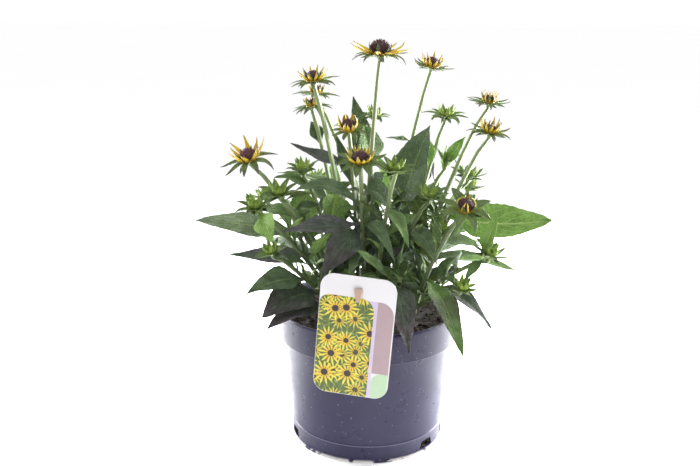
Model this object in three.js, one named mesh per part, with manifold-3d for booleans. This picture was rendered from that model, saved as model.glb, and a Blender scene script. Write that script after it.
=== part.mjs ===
import * as THREE from 'three';
import Module from 'manifold-3d';

const wasm = await Module();
wasm.setup();

// Sizes of the pot, in millimetres
const POT_HEIGHT = 127;
const RIM_RADIUS = 85;
const RIM_BAND = 28;
const RIM_FOOT_RADIUS = 82.4;
const SHOULDER_RADIUS = 78.9;
const SEAM_HEIGHT = 15.8;
const SEAM_RADIUS = 70.7;
const BAND_RADIUS = 71.3;
const FLANGE_RADIUS = 73.4;
const FLANGE_HEIGHT = 1.8;
const WALL = 1.7;
const FLOOR = 2.2;
const POT_SIDES = 32;
const SLOT_STEP = 30;
const SLOT_FIRST = 49;
const SLOTS = 9;
const SLOT_BOTTOM = 3;
const SLOT_TOP = 10.5;

// Sizes of the soil, its level and the gap that every resting piece keeps
const SOIL_LEVEL = 117;
const SOIL_LUMP = 1.8;
const GAP = 0.3;

// Sizes of the label and its stake
const CARD_WIDTH = 65;
const CARD_HEIGHT = 108.5;
const CARD_CORNER = 12;
const CARD_THICK = 0.8;
const CARD_TURN = 4.5;
const CARD_YAW = 9.5;
const CARD_CENTRE = [-13, -86.5, 128];
const STAKE_X = -10.3;
const STAKE_WIDTH = 3;
const STAKE_THICK = 1.4;

// Sizes shared by every leafy stem
const STEM_SIDES = 5;
const STEM_STEPS = 3;
const CONE_SIDES = 8;
const STEM_FOOT = 2;
const STEM_TOP = 1.7;
const FOOT_DEPTH = 10;
const BLADE_THICK = 0.7;
const HOLE_RADIUS = 2.7;

const UP = new THREE.Vector3(0, 0, 1);

function vec(x, y, z) {
  return new THREE.Vector3(x, y, z);
}

// A repeatable draw between 0 and 1 from two whole numbers
function draw(a, b) {
  const s = Math.sin(a * 12.9898 + b * 78.233) * 43758.5453;
  return s - Math.floor(s);
}

// Closed solid from points and triangles, turned so that its faces look out
function solidOf(points, tris) {
  const flat = new Float32Array(points.flatMap((p) => [p.x, p.y, p.z]));
  const build = (list) => new wasm.Manifold(new wasm.Mesh({
    numProp: 3,
    vertProperties: flat,
    triVerts: new Uint32Array(list.flat()),
  }));
  const made = build(tris);
  if (made.volume() > 0) return made;
  return build(tris.map(([a, b, c]) => [a, c, b]));
}

// Mesh of a solid with its own material
function meshOf(name, solid, color, roughness, metalness = 0) {
  const data = solid.getMesh();
  const geometry = new THREE.BufferGeometry();
  const count = data.vertProperties.length / data.numProp;
  const position = new Float32Array(count * 3);
  for (let i = 0; i < count; i += 1) {
    for (let k = 0; k < 3; k += 1) {
      position[i * 3 + k] = data.vertProperties[i * data.numProp + k];
    }
  }
  geometry.setAttribute('position', new THREE.BufferAttribute(position, 3));
  geometry.setIndex([...data.triVerts]);
  const material = new THREE.MeshStandardMaterial({ color, roughness, metalness });
  const mesh = new THREE.Mesh(geometry, material);
  mesh.name = name;
  return mesh;
}

// Skin over a row of rings, closed by a flat cap or by a tip point
function loft(rings, tip = null) {
  const sides = rings[0].length;
  const points = rings.flat();
  const tris = [];
  const last = (rings.length - 1) * sides;
  for (let i = 0; i + 1 < rings.length; i += 1) {
    for (let j = 0; j < sides; j += 1) {
      const k = (j + 1) % sides;
      const a = i * sides;
      tris.push([a + j, a + k, a + sides + k], [a + j, a + sides + k, a + sides + j]);
    }
  }
  for (let j = 1; j + 1 < sides; j += 1) tris.push([0, j + 1, j]);
  if (tip) {
    points.push(tip);
    for (let j = 0; j < sides; j += 1) {
      tris.push([last + j, last + ((j + 1) % sides), points.length - 1]);
    }
  } else {
    for (let j = 1; j + 1 < sides; j += 1) tris.push([last, last + j, last + j + 1]);
  }
  return solidOf(points, tris);
}

// Thin sheet between two grids of points, split alike on both of its faces
function sheet(top, under) {
  const across = top[0].length;
  const points = [...top.flat(), ...under.flat()];
  const shift = top.length * across;
  const tris = [];
  for (let i = 0; i + 1 < top.length; i += 1) {
    for (let j = 0; j + 1 < across; j += 1) {
      const a = i * across + j;
      const b = a + 1;
      const c = b + across;
      const d = a + across;
      tris.push([a, b, c], [a, c, d]);
      tris.push([a + shift, c + shift, b + shift], [a + shift, d + shift, c + shift]);
    }
    const near = i * across;
    const far = near + across;
    tris.push([near, far, far + shift], [near, far + shift, near + shift]);
    const nearEnd = near + across - 1;
    const farEnd = far + across - 1;
    tris.push([nearEnd, farEnd + shift, farEnd], [nearEnd, nearEnd + shift, farEnd + shift]);
  }
  const lastRow = (top.length - 1) * across;
  for (let j = 0; j + 1 < across; j += 1) {
    tris.push([j, j + shift, j + 1 + shift], [j, j + 1 + shift, j + 1]);
    const e = lastRow + j;
    tris.push([e, e + 1, e + 1 + shift], [e, e + 1 + shift, e + shift]);
  }
  return solidOf(points, tris);
}

// Ring of points around a place, square to an axis
function ringAt(place, axis, radius, sides) {
  const side = vec(1, 0, 0).addScaledVector(axis, -axis.x).normalize();
  const other = axis.clone().cross(side);
  return Array.from({ length: sides }, (_, j) => {
    const a = (2 * Math.PI * j) / sides;
    return place.clone()
      .addScaledVector(side, radius * Math.cos(a))
      .addScaledVector(other, radius * Math.sin(a));
  });
}

// Point on a stem at a share of its height, leaning out more and more
function stemPoint(stem, share) {
  const [hx, hy, hz] = stem.head;
  const [fx, fy] = stem.foot;
  const base = SOIL_LEVEL + 3;
  const out = 0.5 * share + 0.5 * share * share;
  return vec(fx + (hx - fx) * out, fy + (hy - fy) * out, base + (hz - base) * share);
}

function stemRadius(share) {
  return STEM_FOOT + (STEM_TOP - STEM_FOOT) * share;
}

function headAxis(stem) {
  return vec(stem.tilt[0], stem.tilt[1], 1).normalize();
}

// Rings of a stem from its straight foot in the soil up to its flare under the head
function stemRings(stem) {
  const axis = headAxis(stem);
  const top = vec(...stem.head);
  const rings = [ringAt(vec(...stem.foot, SOIL_LEVEL - FOOT_DEPTH), UP, STEM_FOOT, STEM_SIDES)];
  for (let i = 0; i < STEM_STEPS; i += 1) {
    const share = i / STEM_STEPS;
    const here = stemPoint(stem, share);
    const next = stemPoint(stem, share + 0.02);
    const dir = i === 0 ? UP : next.sub(here).normalize();
    rings.push(ringAt(here, dir, stemRadius(share), STEM_SIDES));
  }
  rings.push(ringAt(top.clone().addScaledVector(axis, -5.5), axis, STEM_TOP, STEM_SIDES));
  rings.push(ringAt(top.clone().addScaledVector(axis, -2.6), axis, 0.6 * stem.flare + 0.4, STEM_SIDES));
  return rings;
}

// Width of a leaf blade along its length, as shares of its greatest width
const LARGE_BLADE = [
  [0, 0.1], [0.17, 0.18], [0.32, 0.86], [0.47, 1], [0.62, 0.78], [0.8, 0.52], [1, 0.05],
];
const SMALL_BLADE = [[0, 0.14], [0.22, 0.4], [0.45, 1], [0.72, 0.66], [1, 0.06]];

// Leaf from inside its stem to its tip: arched, folded along the midrib and waved. It
// is given by the share of the stem's height where it grows, its tip's x, y and z, its
// width, its arch and its roll in degrees.
function leafSolid(stem, leaf, index) {
  const [share, tx, ty, tz, width, arch, roll] = leaf;
  const base = stemPoint(stem, share);
  const tip = vec(tx, ty, tz);
  const mid = base.clone().lerp(tip, 0.45).add(vec(0, 0, arch));
  const flat = vec(tip.x - base.x, tip.y - base.y, 0).normalize();
  const across = flat.clone().cross(UP);
  const top = [];
  const under = [];
  const table = width > 20 ? LARGE_BLADE : SMALL_BLADE;
  table.forEach(([u, share2]) => {
    const p = base.clone().multiplyScalar((1 - u) * (1 - u))
      .addScaledVector(mid, 2 * u * (1 - u))
      .addScaledVector(tip, u * u);
    const d = mid.clone().sub(base).multiplyScalar(1 - u)
      .addScaledVector(tip.clone().sub(mid), u).normalize();
    const n0 = across.clone().cross(d);
    const turn = THREE.MathUtils.degToRad(roll) * Math.min(1, u / 0.3);
    const s = across.clone().multiplyScalar(Math.cos(turn)).addScaledVector(n0, -Math.sin(turn));
    const n = n0.clone().multiplyScalar(Math.cos(turn)).addScaledVector(across, Math.sin(turn));
    const half = Math.max(0.5, 0.5 * width * share2);
    const sway = 0.05 * width * Math.sin(6.5 * u + 6.28 * draw(index, stem.seed));
    const wave = half > 2 ? sway : 0;
    const lift = 0.3 * half;
    const thick = u < 0.2 ? 1.3 : BLADE_THICK;
    const row = [
      p.clone().addScaledVector(s, half).addScaledVector(n, lift + wave),
      p.clone(),
      p.clone().addScaledVector(s, -half).addScaledVector(n, lift - wave),
    ];
    top.push(row);
    under.push(row.map((q) => q.clone().addScaledVector(n, -thick)));
  });
  return sheet(top, under);
}

// Where the blades of a whorl run: shares of their length and of their width
const LONG_BLADE = [[0.36, 1], [0.72, 0.66]];
const SHORT_BLADE = [[0.45, 1]];

// Whorl of pointed blades round a thin disc. Each blade grows out of one side of the
// disc, leaves it at one slope and ends at another. A raised middle closes a bud, and
// the rings of a stalk run on into the disc's underside.
function whorl(stem, spec, stalk = null) {
  const { count, radius, low, high, length, width, from, to, stations, seed, bud } = spec;
  const axis = headAxis(stem);
  const side = vec(1, 0, 0).addScaledVector(axis, -axis.x).normalize();
  const other = axis.clone().cross(side);
  const around = (angle) => side.clone().multiplyScalar(Math.cos(angle))
    .addScaledVector(other, Math.sin(angle));
  const spot = (angle, r, z) => vec(...stem.head).addScaledVector(around(angle), r)
    .addScaledVector(axis, z);
  const step = (2 * Math.PI) / count;
  const points = [];
  const tris = [];
  for (let i = 0; i < count; i += 1) points.push(spot(i * step, radius, low));
  for (let i = 0; i < count; i += 1) points.push(spot(i * step, radius, high));
  if (bud > 0) points.push(spot(0, 0, high + bud));
  for (let j = 0; j < count; j += 1) {
    if (bud > 0) tris.push([count + j, count + ((j + 1) % count), 2 * count]);
    else if (j > 0 && j + 1 < count) tris.push([count, count + j, count + j + 1]);
    if (!stalk && j > 0 && j + 1 < count) tris.push([0, j + 1, j]);
  }
  if (stalk) {
    const first = points.length;
    const sides = stalk[0].length;
    const last = first + (stalk.length - 1) * sides;
    points.push(...stalk.flat());
    for (let i = 0; i + 1 < stalk.length; i += 1) {
      for (let j = 0; j < sides; j += 1) {
        const k = (j + 1) % sides;
        const a = first + i * sides;
        tris.push([a + j, a + k, a + sides + k], [a + j, a + sides + k, a + sides + j]);
      }
    }
    for (let j = 1; j + 1 < sides; j += 1) tris.push([first, first + j + 1, first + j]);
    let i = 0;
    let j = 0;
    while (i < count || j < sides) {
      if (j === sides || (i < count && (i + 1) / count <= (j + 1) / sides)) {
        tris.push([last + (j % sides), (i + 1) % count, i % count]);
        i += 1;
      } else {
        tris.push([last + (j % sides), last + ((j + 1) % sides), i % count]);
        j += 1;
      }
    }
  }
  for (let i = 0; i < count; i += 1) {
    const long = length * (0.8 + 0.26 * draw(i, stem.seed + seed));
    const end = to + 14 * (draw(i, stem.seed + seed + 2) - 0.5);
    const drift = 0.5 * step * (draw(i, stem.seed + seed + 4) - 0.5);
    let r = radius;
    let z = (low + high) / 2;
    let before = 0;
    const go = (u) => {
      const slope = THREE.MathUtils.degToRad(from + (end - from) * (u + before) / 2);
      r += Math.cos(slope) * long * (u - before);
      z += Math.sin(slope) * long * (u - before);
      before = u;
    };
    let [a, b, c, d] = [i, (i + 1) % count, count + ((i + 1) % count), count + i];
    stations.forEach(([u, share]) => {
      go(u);
      const here = THREE.MathUtils.degToRad(from + (end - from) * u);
      const out = around((i + 0.5) * step + drift * u);
      const across = axis.clone().cross(out);
      const n = axis.clone().multiplyScalar(Math.cos(here)).addScaledVector(out, -Math.sin(here));
      const p = vec(...stem.head).addScaledVector(out, r).addScaledVector(axis, z);
      const k = points.length;
      for (const [x, y] of [[-1, -1], [1, -1], [1, 1], [-1, 1]]) {
        points.push(p.clone().addScaledVector(across, 0.5 * x * width * share)
          .addScaledVector(n, 0.5 * y * BLADE_THICK));
      }
      tris.push([d, k + 3, k + 2], [d, k + 2, c], [a, b, k + 1], [a, k + 1, k]);
      tris.push([a, k, k + 3], [a, k + 3, d], [b, c, k + 2], [b, k + 2, k + 1]);
      [a, b, c, d] = [k, k + 1, k + 2, k + 3];
    });
    go(1);
    const t = points.length;
    points.push(spot((i + 0.5) * step + drift, r, z));
    tris.push([d, t, c], [a, b, t], [a, t, d], [b, c, t]);
  }
  return solidOf(points, tris);
}

// Stem and the green bracts round its receptacle, which a bud's middle closes where no
// rays open
function stemSolid(stem) {
  const [count, length, from, to, width] = stem.bracts;
  return whorl(stem, {
    count, length, from, to, width, radius: stem.flare, low: -1.8, high: 0, seed: 3,
    stations: length > 21 ? LONG_BLADE : SHORT_BLADE, bud: stem.rays ? 0 : 2.6,
  }, stemRings(stem));
}

// Golden rays round a thin collar that lies on the receptacle
function raySolid(stem) {
  const [count, length, from, to, width] = stem.rays;
  return whorl(stem, {
    count, length, from, to, width, radius: stem.cone[0] + 1.2, low: GAP, high: GAP + 1,
    seed: 11, stations: length > 12 ? LONG_BLADE : SHORT_BLADE, bud: 0,
  });
}

// Dark cone of disc florets, a dome with a staggered relief
function coneSolid(stem) {
  const axis = headAxis(stem);
  const [radius, height] = stem.cone;
  const shape = [[0, 0.78], [0.2, 1], [0.48, 0.93], [0.74, 0.68], [0.92, 0.34]];
  const rings = shape.map(([h, w], i) => {
    const centre = vec(...stem.head).addScaledVector(axis, 2 * GAP + 1 + h * height);
    return ringAt(centre, axis, radius * w, CONE_SIDES).map((p, j) => {
      const push = i > 0 && (i + j) % 2 ? 0.93 : 1;
      return p.sub(centre).multiplyScalar(push).add(centre);
    });
  });
  return loft(rings, vec(...stem.head).addScaledVector(axis, 2 * GAP + 1 + height));
}

// Stems that carry open heads. The cone is given by radius and height, rays and bracts
// by their count, length, first and last slope in degrees and width.
const BLOOMS = [
  { name: 'bloom_01', head: [8, 5, 356], foot: [-5, 4], tilt: [0.03, -0.04], cone: [9, 11],
    rays: [8, 20, 8, 30, 4.4], bracts: [10, 24, 12, -22, 3.6],
    leaves: [[0.3, -8, -12, 244, 16, 4, -60], [0.42, 13, -12, 254, 30, 4, 60],
      [0.18, 13, -8, 204, 22, 2, 60]] },
  { name: 'bloom_02', head: [55, 25, 343], foot: [15, 14], tilt: [0.16, -0.08], cone: [5.8, 7.5],
    rays: [10, 12, 35, 84, 2.9], bracts: [10, 18, 8, 4, 3.2],
    leaves: [[0.37, 53, 0, 294, 41, 6, 74], [0.5, 53, -2, 202, 20, 12, 40],
      [0.7, 15, 12, 281, 8, 1, 30]] },
  { name: 'bloom_03', head: [-50, 0, 333], foot: [-14, 2], tilt: [-0.1, -0.12], cone: [5.8, 7.5],
    rays: [10, 12, 34, 74, 2.9], bracts: [10, 21, 10, -6, 3.5],
    leaves: [[0.54, -37, -16, 193, 27, 10, -60]] },
  { name: 'bloom_04', head: [-50, 64, 313], foot: [14, 24], tilt: [0.06, 0.05], cone: [5, 6],
    rays: [8, 9, 38, 84, 2.8], bracts: [9, 20, 12, -8, 3.5],
    leaves: [[0.5, -88, 66, 236, 20, 12, 0]] },
  { name: 'bloom_05', head: [-53, 30, 306], foot: [-19, 11], tilt: [-0.15, 0], cone: [4.4, 5],
    rays: [8, 8, 44, 112, 2.6], bracts: [9, 20, 16, -34, 3.7],
    leaves: [[0.8, -54, 36, 291, 13, 6, -40], [0.5, -76, 34, 238, 17, 8, -20]] },
  { name: 'bloom_06', head: [-19, 15, 288], foot: [-8, 11], tilt: [-0.08, -0.4], cone: [6.3, 8],
    rays: [9, 12, 52, 114, 3.4], bracts: [9, 17, 16, -22, 3.8],
    leaves: [[0.8, -72, 19, 274, 14, -4, -34], [0.5, -16, 24, 262, 16, 0, 60],
      [0.52, -33, 8, 210, 10, 5, -30], [0.66, -31, 22, 282, 12, 3, -50]] },
  { name: 'bloom_07', head: [-9, -40, 270], foot: [-4, -12], tilt: [-0.02, -0.34], cone: [6.8, 7.5],
    rays: [11, 11, 28, 92, 3.2], bracts: [9, 21, 8, -20, 6.2],
    leaves: [[0.56, -41, -84, 181, 27, 12, -40], [0.7, -63, -50, 247, 18, 22, -34],
      [0.6, -76, -54, 211, 22, 2, -26], [0.58, 20, -80, 193, 13, 26, 20],
      [0.5, -18, -78, 177, 11, 6, 0], [0.78, 21, -32, 218, 24, 24, 30]] },
  { name: 'bloom_08', head: [-106, -20, 267], foot: [-27, -4], tilt: [-0.24, -0.26], cone: [7.2, 8.5],
    rays: [9, 18, 30, 74, 4.2], bracts: [9, 23, 14, -48, 4.5],
    leaves: [[0.5, -157, -5, 207, 25, 6, -48], [0.38, -128, -8, 176, 19, -2, -40],
      [0.62, -102, 8, 214, 15, 8, -30]] },
  { name: 'bloom_09', head: [107, 19, 312], foot: [39, 0], tilt: [0.1, -0.04], cone: [4.8, 5.5],
    rays: [10, 12, 34, 150, 2.2], bracts: [10, 21, 11, -1, 3.5],
    leaves: [[0.32, 77, 3, 214, 18, 8, 44], [0.5, 86, 2, 212, 16, 6, 30]] },
  { name: 'bloom_10', head: [105, -10, 290], foot: [43, -6], tilt: [0.12, -0.14], cone: [4.8, 5.5],
    rays: [11, 12, 28, 94, 2.8], bracts: [10, 21, 12, -5, 4],
    leaves: [[0.54, 80, -38, 250, 15, 4, 40], [0.4, 101, -12, 186, 15, 8, 34]] },
  { name: 'bloom_11', head: [80, -60, 234], foot: [40, -24], tilt: [0.1, -0.5], cone: [6.6, 7.5],
    rays: [7, 13, 52, 150, 2.3], bracts: [8, 25, 5, 2, 7.5],
    leaves: [[0.36, 78, -100, 116, 24, 24, 0]] },
];

// Stems that carry green buds, their receptacle given by its radius
const SHOOTS = [
  { name: 'shoot_01', head: [69, 25, 298], foot: [31, 15], tilt: [0.1, -0.1], flare: 4,
    bracts: [9, 21.1, 44, -36, 4.1],
    leaves: [[0.72, 51, 22, 283, 15, 4, 60], [0.5, 38, 72, 246, 17, 10, 0],
      [0.62, 54, 28, 257, 12, 4, 60]] },
  { name: 'shoot_02', head: [20, -58, 265], foot: [5, -14], tilt: [0.02, -0.2], flare: 3.6,
    bracts: [8, 19, 34, 14, 5.4],
    leaves: [[0.74, 32, -76, 204, 14, 14, 0], [0.4, 6, -18, 230, 24, 2, -60],
      [0.55, 40, -52, 226, 15, 4, 50]] },
  { name: 'shoot_03', head: [-79, -30, 238], foot: [-20, -10], tilt: [-0.1, -0.3], flare: 3.6,
    bracts: [8, 19, 36, 16, 5.4],
    leaves: [] },
  { name: 'shoot_04', head: [-99, -40, 228], foot: [-28, -14], tilt: [-0.12, -0.3], flare: 3.4,
    bracts: [8, 18, 34, 10, 5],
    leaves: [[0.5, -34, -44, 208, 10, 4, -30], [0.44, -74, -56, 184, 15, 8, -20],
      [0.97, -83, -66, 205, 21, 3, 45]] },
  { name: 'shoot_05', head: [51, -25, 234], foot: [13, -6], tilt: [0.05, -0.2], flare: 3.4,
    bracts: [8, 20, 44, 26, 5.4],
    leaves: [[0.68, 57, -70, 186, 16, 24, 10], [0.3, 36, -12, 228, 28, 4, 60]] },
  { name: 'shoot_06', head: [91, 15, 244], foot: [30, 8], tilt: [0.15, -0.1], flare: 3.4,
    bracts: [7, 19, 40, 16, 5],
    leaves: [[0.72, 162, -20, 213, 37, -12, 46], [0.38, 137, -20, 164, 17, 14, 20]] },
  { name: 'shoot_07', head: [5, 50, 293], foot: [0, 21], tilt: [0.1, 0], flare: 3.4,
    bracts: [7, 16, 50, -30, 4.2],
    leaves: [[0.7, -5, 32, 290, 31, 4, -84], [0.4, 10, 98, 220, 20, 14, 0],
      [0.66, -15, 54, 312, 22, 4, -50]] },
  { name: 'shoot_08', head: [105, -40, 185], foot: [33, -13], tilt: [0.3, -0.2], flare: 3,
    bracts: [7, 19, 36, 22, 4.8],
    leaves: [[0.94, 110, -44, 222, 17, 6, 70], [0.42, 108, -62, 124, 18, 26, 10],
      [0.96, 81, -56, 166, 10, 2, 0]] },
  { name: 'shoot_09', head: [-86, -35, 186], foot: [-31, -21], tilt: [-0.3, -0.2], flare: 3,
    bracts: [7, 17, 30, 4, 4.8],
    leaves: [[0.35, -92, -74, 140, 38, 15, -30], [0.12, -88, -76, 130, 26, 18, -24],
      [0.56, -104, -84, 165, 24, 12, -36]] },
  { name: 'shoot_10', head: [63, -30, 204], foot: [22, -10], tilt: [0.2, -0.1], flare: 3,
    bracts: [7, 17, 46, 34, 4.6],
    leaves: [[0.6, 102, -18, 181, 11, 7, 20]] },
  { name: 'shoot_11', head: [80, -55, 160], foot: [31, -24], tilt: [0.3, -0.3], flare: 2.8,
    bracts: [7, 15, 34, 20, 4.4],
    leaves: [] },
  { name: 'shoot_12', head: [-60, 6, 251], foot: [-22, 3], tilt: [-0.1, -0.1], flare: 3.2,
    bracts: [8, 16, 44, 26, 5],
    leaves: [[0.88, -86, 0, 246, 15, 8, -20], [0.9, -63, 6, 196, 24, 4, -75]] },
  { name: 'shoot_13', head: [72, 33, 253], foot: [23, 19], tilt: [0.2, 0], flare: 2.8,
    bracts: [6, 17, 60, 40, 4.4],
    leaves: [[0.96, 71, 27, 271, 12, 1, 60], [0.97, 88, 28, 279, 13, 1, 60],
      [0.6, 70, 74, 226, 17, 12, 0], [0.86, 46, 36, 265, 13, 13, 40]] },
  { name: 'shoot_14', head: [26, -62, 174], foot: [8, -25], tilt: [0.1, -0.3], flare: 3.2,
    bracts: [7, 15, 56, 30, 4.6],
    leaves: [[0.78, 33, -97, 117, 26, 20, 0], [0.84, -12, -74, 201, 15, 2, -40],
      [0.86, 29, -66, 208, 10, 0, 60]] },
  { name: 'shoot_15', head: [-50, 88, 224], foot: [-12, 29], tilt: [-0.2, 0.3], flare: 3,
    bracts: [7, 18, 40, 20, 5],
    leaves: [[0.5, -92, 106, 178, 24, 16, 0], [0.75, -34, 122, 236, 17, 8, 0],
      [0.3, -34, 124, 164, 24, 20, 0]] },
  { name: 'shoot_16', head: [44, 96, 230], foot: [10, 30], tilt: [0.2, 0.3], flare: 3,
    bracts: [7, 18, 40, 20, 5],
    leaves: [[0.45, 84, 122, 182, 24, 18, 0], [0.25, 24, 128, 160, 24, 22, 0],
      [0.7, 10, 112, 244, 17, 8, 0]] },
  { name: 'shoot_17', head: [-98, 46, 216], foot: [-31, 13], tilt: [-0.3, 0.1], flare: 3,
    bracts: [7, 18, 36, 16, 5],
    leaves: [[0.55, -148, 62, 186, 24, 12, 0], [0.35, -108, 92, 160, 22, 16, 0]] },
  { name: 'shoot_18', head: [98, 70, 220], foot: [32, 25], tilt: [0.3, 0.2], flare: 3,
    bracts: [7, 18, 36, 16, 5],
    leaves: [[0.5, 148, 78, 184, 24, 14, 0], [0.3, 122, 96, 158, 22, 18, 0]] },
];

BLOOMS.forEach((stem, i) => {
  stem.seed = i + 1;
  stem.flare = stem.cone[0] * 0.62;
});
SHOOTS.forEach((stem, i) => {
  stem.seed = i + 41;
});

// Pot: a turned shell with a stepped rim band, a seam above its base band, a foot
// flange and a row of drain slots
function potMade() {
  const wallFoot = SEAM_RADIUS - WALL;
  const step = POT_HEIGHT - RIM_BAND;
  const profile = [
    [0, 0], [FLANGE_RADIUS, 0], [FLANGE_RADIUS, FLANGE_HEIGHT], [BAND_RADIUS, FLANGE_HEIGHT + 0.4],
    [BAND_RADIUS + 0.3, SEAM_HEIGHT], [SEAM_RADIUS, SEAM_HEIGHT + 0.6],
    [SHOULDER_RADIUS, step], [RIM_FOOT_RADIUS, step + 0.4], [RIM_RADIUS, POT_HEIGHT - 1.4],
    [RIM_RADIUS - 0.8, POT_HEIGHT], [RIM_RADIUS - 3, POT_HEIGHT],
    [RIM_FOOT_RADIUS - WALL, step + 2], [SHOULDER_RADIUS - WALL, step - 0.6],
    [wallFoot, SEAM_HEIGHT], [wallFoot - 0.6, FLOOR], [0, FLOOR],
  ];
  const turned = wasm.Manifold.revolve([profile], POT_SIDES);
  const cuts = Array.from({ length: SLOTS }, (_, i) => {
    const outline = [[-9, SLOT_BOTTOM], [9, SLOT_BOTTOM], [6.5, SLOT_TOP], [-6.5, SLOT_TOP]];
    const block = wasm.Manifold.extrude([outline], 12)
      .rotate([90, 0, 0])
      .translate([0, -62, 0]);
    return block.rotate([0, 0, SLOT_FIRST + i * SLOT_STEP]);
  });
  return turned.subtract(wasm.Manifold.union(cuts));
}

// Place of the card in front of the rim, turned in its own plane
function cardPlace(solid) {
  return solid.rotate([90, 0, 0]).rotate([0, CARD_TURN, 0]).rotate([0, 0, -CARD_YAW])
    .translate(CARD_CENTRE);
}

// Card with rounded corners
function cardMade() {
  const outline = [];
  for (let c = 0; c < 4; c += 1) {
    const cx = (c === 0 || c === 3 ? 1 : -1) * (CARD_WIDTH / 2 - CARD_CORNER);
    const cy = (c < 2 ? 1 : -1) * (CARD_HEIGHT / 2 - CARD_CORNER);
    for (let k = 0; k <= 5; k += 1) {
      const a = (Math.PI / 2) * (c + k / 5);
      outline.push([cx + CARD_CORNER * Math.cos(a), cy + CARD_CORNER * Math.sin(a)]);
    }
  }
  return cardPlace(wasm.Manifold.extrude([outline], CARD_THICK));
}

// Stake's neck through the card's slot and its shaft down behind the card and inside
// the rim, as cut outlines of its side view
function stakeMade(extra) {
  const front = -90.4 - extra;
  const bar = (points, width) => wasm.Manifold.extrude([points], width)
    .rotate([90, 0, 90])
    .translate([STAKE_X - width / 2, 0, 0]);
  const low = 160 - extra;
  const high = 162 + extra;
  const neck = bar([[front, low], [-82, low], [-82, high], [front, high]], STAKE_WIDTH + 2 * extra);
  const shaft = bar([
    [-84.6 - extra, high], [-84.6 - extra, low], [-76 - extra, 104 - extra],
    [-76 + STAKE_THICK + extra, 104 - extra], [-82.4 + extra, low], [-82.4 + extra, high],
  ], STAKE_WIDTH + 2 * extra);
  return { neck, shaft, bar, front };
}

// Stake with its tapered head in front of the card
function stakeSolid() {
  const { neck, shaft, bar, front } = stakeMade(0);
  const head = bar([[front, 160], [front + 1.2, 160], [front + 1.2, 172], [front, 172]], 7);
  const taper = wasm.Manifold.extrude([[[-1.5, 160], [1.5, 160], [3.5, 172], [-3.5, 172]]], 30)
    .rotate([90, 0, 0])
    .translate([STAKE_X, -70, 0]);
  return wasm.Manifold.union([head.intersect(taper), neck, shaft]);
}

// Soil: a lumpy fill with a plain hole for each stem and for the stake
function soilMade(stems) {
  const sides = 22;
  const reach = [0.36, 0.7, 1];
  const edge = 80.5;
  const points = [vec(0, 0, SOIL_LEVEL + 1)];
  const tris = [];
  reach.forEach((share, i) => {
    for (let j = 0; j < sides; j += 1) {
      const a = (2 * Math.PI * j) / sides;
      const lump = SOIL_LUMP * (2 * draw(i + 3, j + 19) - 1);
      const z = i === reach.length - 1 ? SOIL_LEVEL - 1.5 : SOIL_LEVEL + lump;
      points.push(vec(edge * share * Math.cos(a), edge * share * Math.sin(a), z));
    }
  });
  const lower = [[79.9, POT_HEIGHT - RIM_BAND + 2.7], [76.2, POT_HEIGHT - RIM_BAND - 1],
    [SEAM_RADIUS - WALL - 0.7, SEAM_HEIGHT], [67.4, FLOOR + GAP]];
  lower.forEach(([r, z]) => {
    for (let j = 0; j < sides; j += 1) {
      const a = (2 * Math.PI * j) / sides;
      points.push(vec(r * Math.cos(a), r * Math.sin(a), z));
    }
  });
  const rows = reach.length + lower.length;
  for (let j = 0; j < sides; j += 1) {
    const k = (j + 1) % sides;
    tris.push([0, 1 + j, 1 + k]);
    for (let i = 0; i + 1 < rows; i += 1) {
      const a = 1 + i * sides;
      const b = a + sides;
      tris.push([a + j, b + j, b + k], [a + j, b + k, a + k]);
    }
  }
  const last = 1 + (rows - 1) * sides;
  for (let j = 1; j + 1 < sides; j += 1) tris.push([last, last + j + 1, last + j]);
  const body = solidOf(points, tris);
  const holes = stems.map((stem) => {
    const bottom = SOIL_LEVEL - FOOT_DEPTH - 0.4;
    const low = ringAt(vec(...stem.foot, bottom), UP, HOLE_RADIUS, STEM_SIDES);
    const high = ringAt(vec(...stem.foot, SOIL_LEVEL + 8), UP, HOLE_RADIUS, STEM_SIDES);
    return loft([low, high]);
  });
  const { shaft } = stakeMade(0.35);
  return body.subtract(wasm.Manifold.union([...holes, shaft]));
}

const group = new THREE.Group();
group.add(meshOf('pot', potMade(), '#55536a', 0.4));
group.add(meshOf('soil', soilMade([...BLOOMS, ...SHOOTS]), '#2c221d', 0.95));
const cardSlot = stakeMade(0.35);
group.add(meshOf('label_card', cardMade().subtract(cardSlot.neck), '#f2f0f3', 0.45));
group.add(meshOf('label_stake', stakeSolid(), '#c9a68c', 0.5));

BLOOMS.forEach((stem) => {
  const green = wasm.Manifold.union([
    stemSolid(stem), ...stem.leaves.map((l, i) => leafSolid(stem, l, i)),
  ]);
  group.add(meshOf(stem.name + '_green', green, '#5f7d3c', 0.6));
  group.add(meshOf(stem.name + '_rays', raySolid(stem), '#f0ae1c', 0.55));
  group.add(meshOf(stem.name + '_cone', coneSolid(stem), '#47292f', 0.8));
});

SHOOTS.forEach((stem) => {
  const green = wasm.Manifold.union([
    stemSolid(stem), ...stem.leaves.map((l, i) => leafSolid(stem, l, i)),
  ]);
  group.add(meshOf(stem.name, green, '#5a8a3a', 0.6));
});

export default group;
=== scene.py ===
import math

import bmesh
import bpy
from mathutils import Matrix, Vector, noise
from mathutils.bvhtree import BVHTree


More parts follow.
